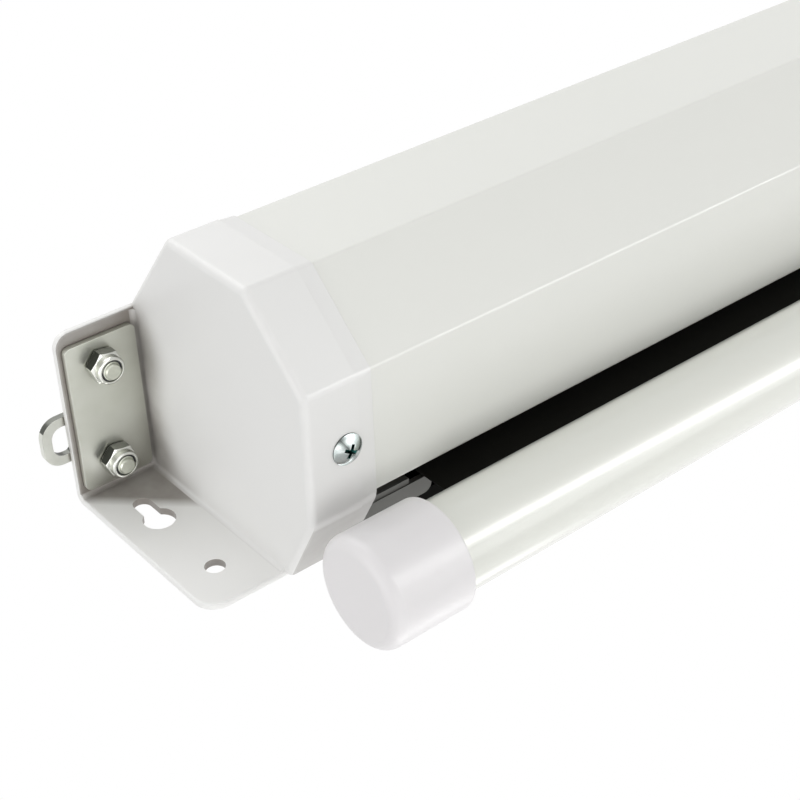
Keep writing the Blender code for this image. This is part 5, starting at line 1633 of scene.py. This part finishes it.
@dataclass(frozen=True)
class Lamp:
    """Soft lamp that the camera doesn't see.

    It stands at a spot, looks at its aim and has a length and a height; its length is laid along a direction, as
    near as the aim allows, and its power is in watts. One that lights no matt surface shows only in gloss.
    """

    name: str
    spot: Triple
    aim: Triple
    size: Point
    power: float
    along: Triple = (1.0, 0.0, 0.0)
    lights_matt: bool = True

    def build(self) -> None:
        """Hang the lamp in the scene."""
        data = bpy.data.lights.new(self.name, "AREA")
        data.shape = "RECTANGLE"
        data.size, data.size_y = self.size
        data.energy = self.power
        lamp = bpy.data.objects.new(self.name, data)
        lamp.location = self.spot
        back = (Vector(self.spot) - Vector(self.aim)).normalized()
        across = Vector(self.along) - back * back.dot(Vector(self.along))
        across.normalize()
        lamp.rotation_euler = Matrix((across, back.cross(across), back)).transposed().to_euler()
        lamp.visible_camera = False
        lamp.visible_diffuse = self.lights_matt
        bpy.context.scene.collection.objects.link(lamp)


@dataclass
class Studio:
    """Camera, lamps, plain floor and white surroundings."""

    lens: float = 75.489
    sensor: float = 36
    nearest: float = 0.01
    spot: Triple = (-0.15691, -0.25943, -0.28375)
    turn_deg: Triple = (147.1762, 39.5262, 2.251)
    floor_z: float = -1.9
    floor_half: float = 45
    floor_roughness: float = 0.85
    floor_glow: float = 0.55
    surround: float = 0.52
    lamps: tuple[Lamp, ...] = (
        Lamp("key_lamp", (0.3, -2.7, 2.3), (0.4, 0, 0), (3.0, 3.0), 66),
        Lamp("side_lamp", (-3.2, -0.3, -0.2), (0, 0, 0), (2.5, 2.5), 33),
        Lamp("low_lamp", (0.5, -0.1, -1.6), (0.5, 0, 0), (2.5, 0.6), 7),
        Lamp("rear_lamp", (0.6, 3.0, -1.0), (0.6, 0, 0), (3.0, 1.2), 24),
        Lamp("right_lamp", (4.2, 0.5, 0.6), (0.9, 0, 0), (2.5, 2.5), 22),
        Lamp("strip_lamp", (0.944, -0.578, -1.128), (0.944, -0.148, -0.003), (1.7, 0.30), 13.1,
             (0.826, 0.51, -0.23), lights_matt=False),
    )

    def build(self) -> None:
        """Set up everything that isn't part of the object."""
        self._camera()
        self._world()
        self._floor()
        for lamp in self.lamps:
            lamp.build()
        bpy.context.scene.view_settings.view_transform = "Standard"

    def _camera(self) -> None:
        """Camera at the photograph's view."""
        data = bpy.data.cameras.new("camera")
        data.lens = self.lens
        data.sensor_width = self.sensor
        data.clip_start = self.nearest
        camera = bpy.data.objects.new("camera", data)
        camera.location = self.spot
        camera.rotation_euler = [math.radians(angle) for angle in self.turn_deg]
        bpy.context.scene.collection.objects.link(camera)
        bpy.context.scene.camera = camera

    def _world(self) -> None:
        """Plain surroundings: white to the eye, to metal and to glass, softer as a light."""
        world = bpy.data.worlds.new("surround")
        world.use_nodes = True
        bpy.context.scene.world = world
        board = Board(world.node_tree)
        background = world.node_tree.nodes["Background"]
        path = board.add("ShaderNodeLightPath")
        seen = board.maths("MAXIMUM", path.outputs["Is Camera Ray"],
                           board.maths("MAXIMUM", path.outputs["Is Glossy Ray"],
                                       path.outputs["Is Transmission Ray"]))
        board.put(background.inputs["Color"], (1.0, 1.0, 1.0, 1.0))
        board.put(background.inputs["Strength"], board.spread(seen, 0.0, 1.0, self.surround, 1.0))

    def _floor(self) -> None:
        """Pale floor below the fully lowered bar; it keeps the object's shadow."""
        bm = fresh()
        bmesh.ops.create_grid(bm, x_segments=1, y_segments=1, size=self.floor_half,
                              matrix=Matrix.Translation((MID_X, 0, self.floor_z)))
        floor = as_object("studio_floor", bm)
        material = bpy.data.materials.new("floor_paper")
        material.use_nodes = True
        board = Board(material.node_tree)
        shader = material.node_tree.nodes["Principled BSDF"]
        spot = board.add("ShaderNodeTexCoord").outputs["Object"]
        board.put(shader.inputs["Base Color"], board.mixed(board.noise(spot, 3.0), (0.84, 0.84, 0.835),
                                                           (0.87, 0.87, 0.87)))
        board.put(shader.inputs["Roughness"], self.floor_roughness)
        path = board.add("ShaderNodeLightPath")
        seen = board.maths("MAXIMUM", path.outputs["Is Camera Ray"], path.outputs["Is Glossy Ray"])
        glow = board.add("ShaderNodeEmission", {"Color": (1.0, 1.0, 1.0, 1.0),
                                                "Strength": board.maths("MULTIPLY", seen, self.floor_glow)})
        both = board.add("ShaderNodeAddShader")
        board.put(both.inputs[0], shader.outputs[0])
        board.put(both.inputs[1], glow.outputs[0])
        board.put(material.node_tree.nodes["Material Output"].inputs["Surface"], both.outputs[0])
        floor.data.materials.append(material)


def main() -> None:
    """Build the whole screen in order."""
    logging.basicConfig(level=logging.INFO, format="%(name)s: %(message)s")
    Studio().build()
    book = FinishBook()
    casing = Casing()
    casing.dress(casing.build(), book)
    for side in Side:
        cap = EndCap(side)
        cap.dress(cap.build(), book)
        Hanger(side).build(book)
        spot = side.matrix @ Vector(cap.screw_spot)
        PanScrew(f"end_screw_{side.value}", f"cap_screw_{side.value}", spot, Axis.Z, Body.HOUSING).build(book)
    Fabric().build(book)
    WeightBar().build(book)
    handle = PullHandle()
    handle.build(book)
    for side in Side:
        spot = Vector((MID_X - side.sign * handle.screw_aside, FABRIC_Y - handle.screw_front, BAR_Z))
        PanScrew(f"clip_screw_{side.value}", f"handle_screw_{side.value}", spot, Axis.Y, Body.WEIGHT_BAR,
                 head=3.76 * MM, rise=1.8 * MM, side_wall=2 * MM, shank=6 * MM).build(book)
    InnerParts().dress(book)


if __name__ == "__main__":
    main()
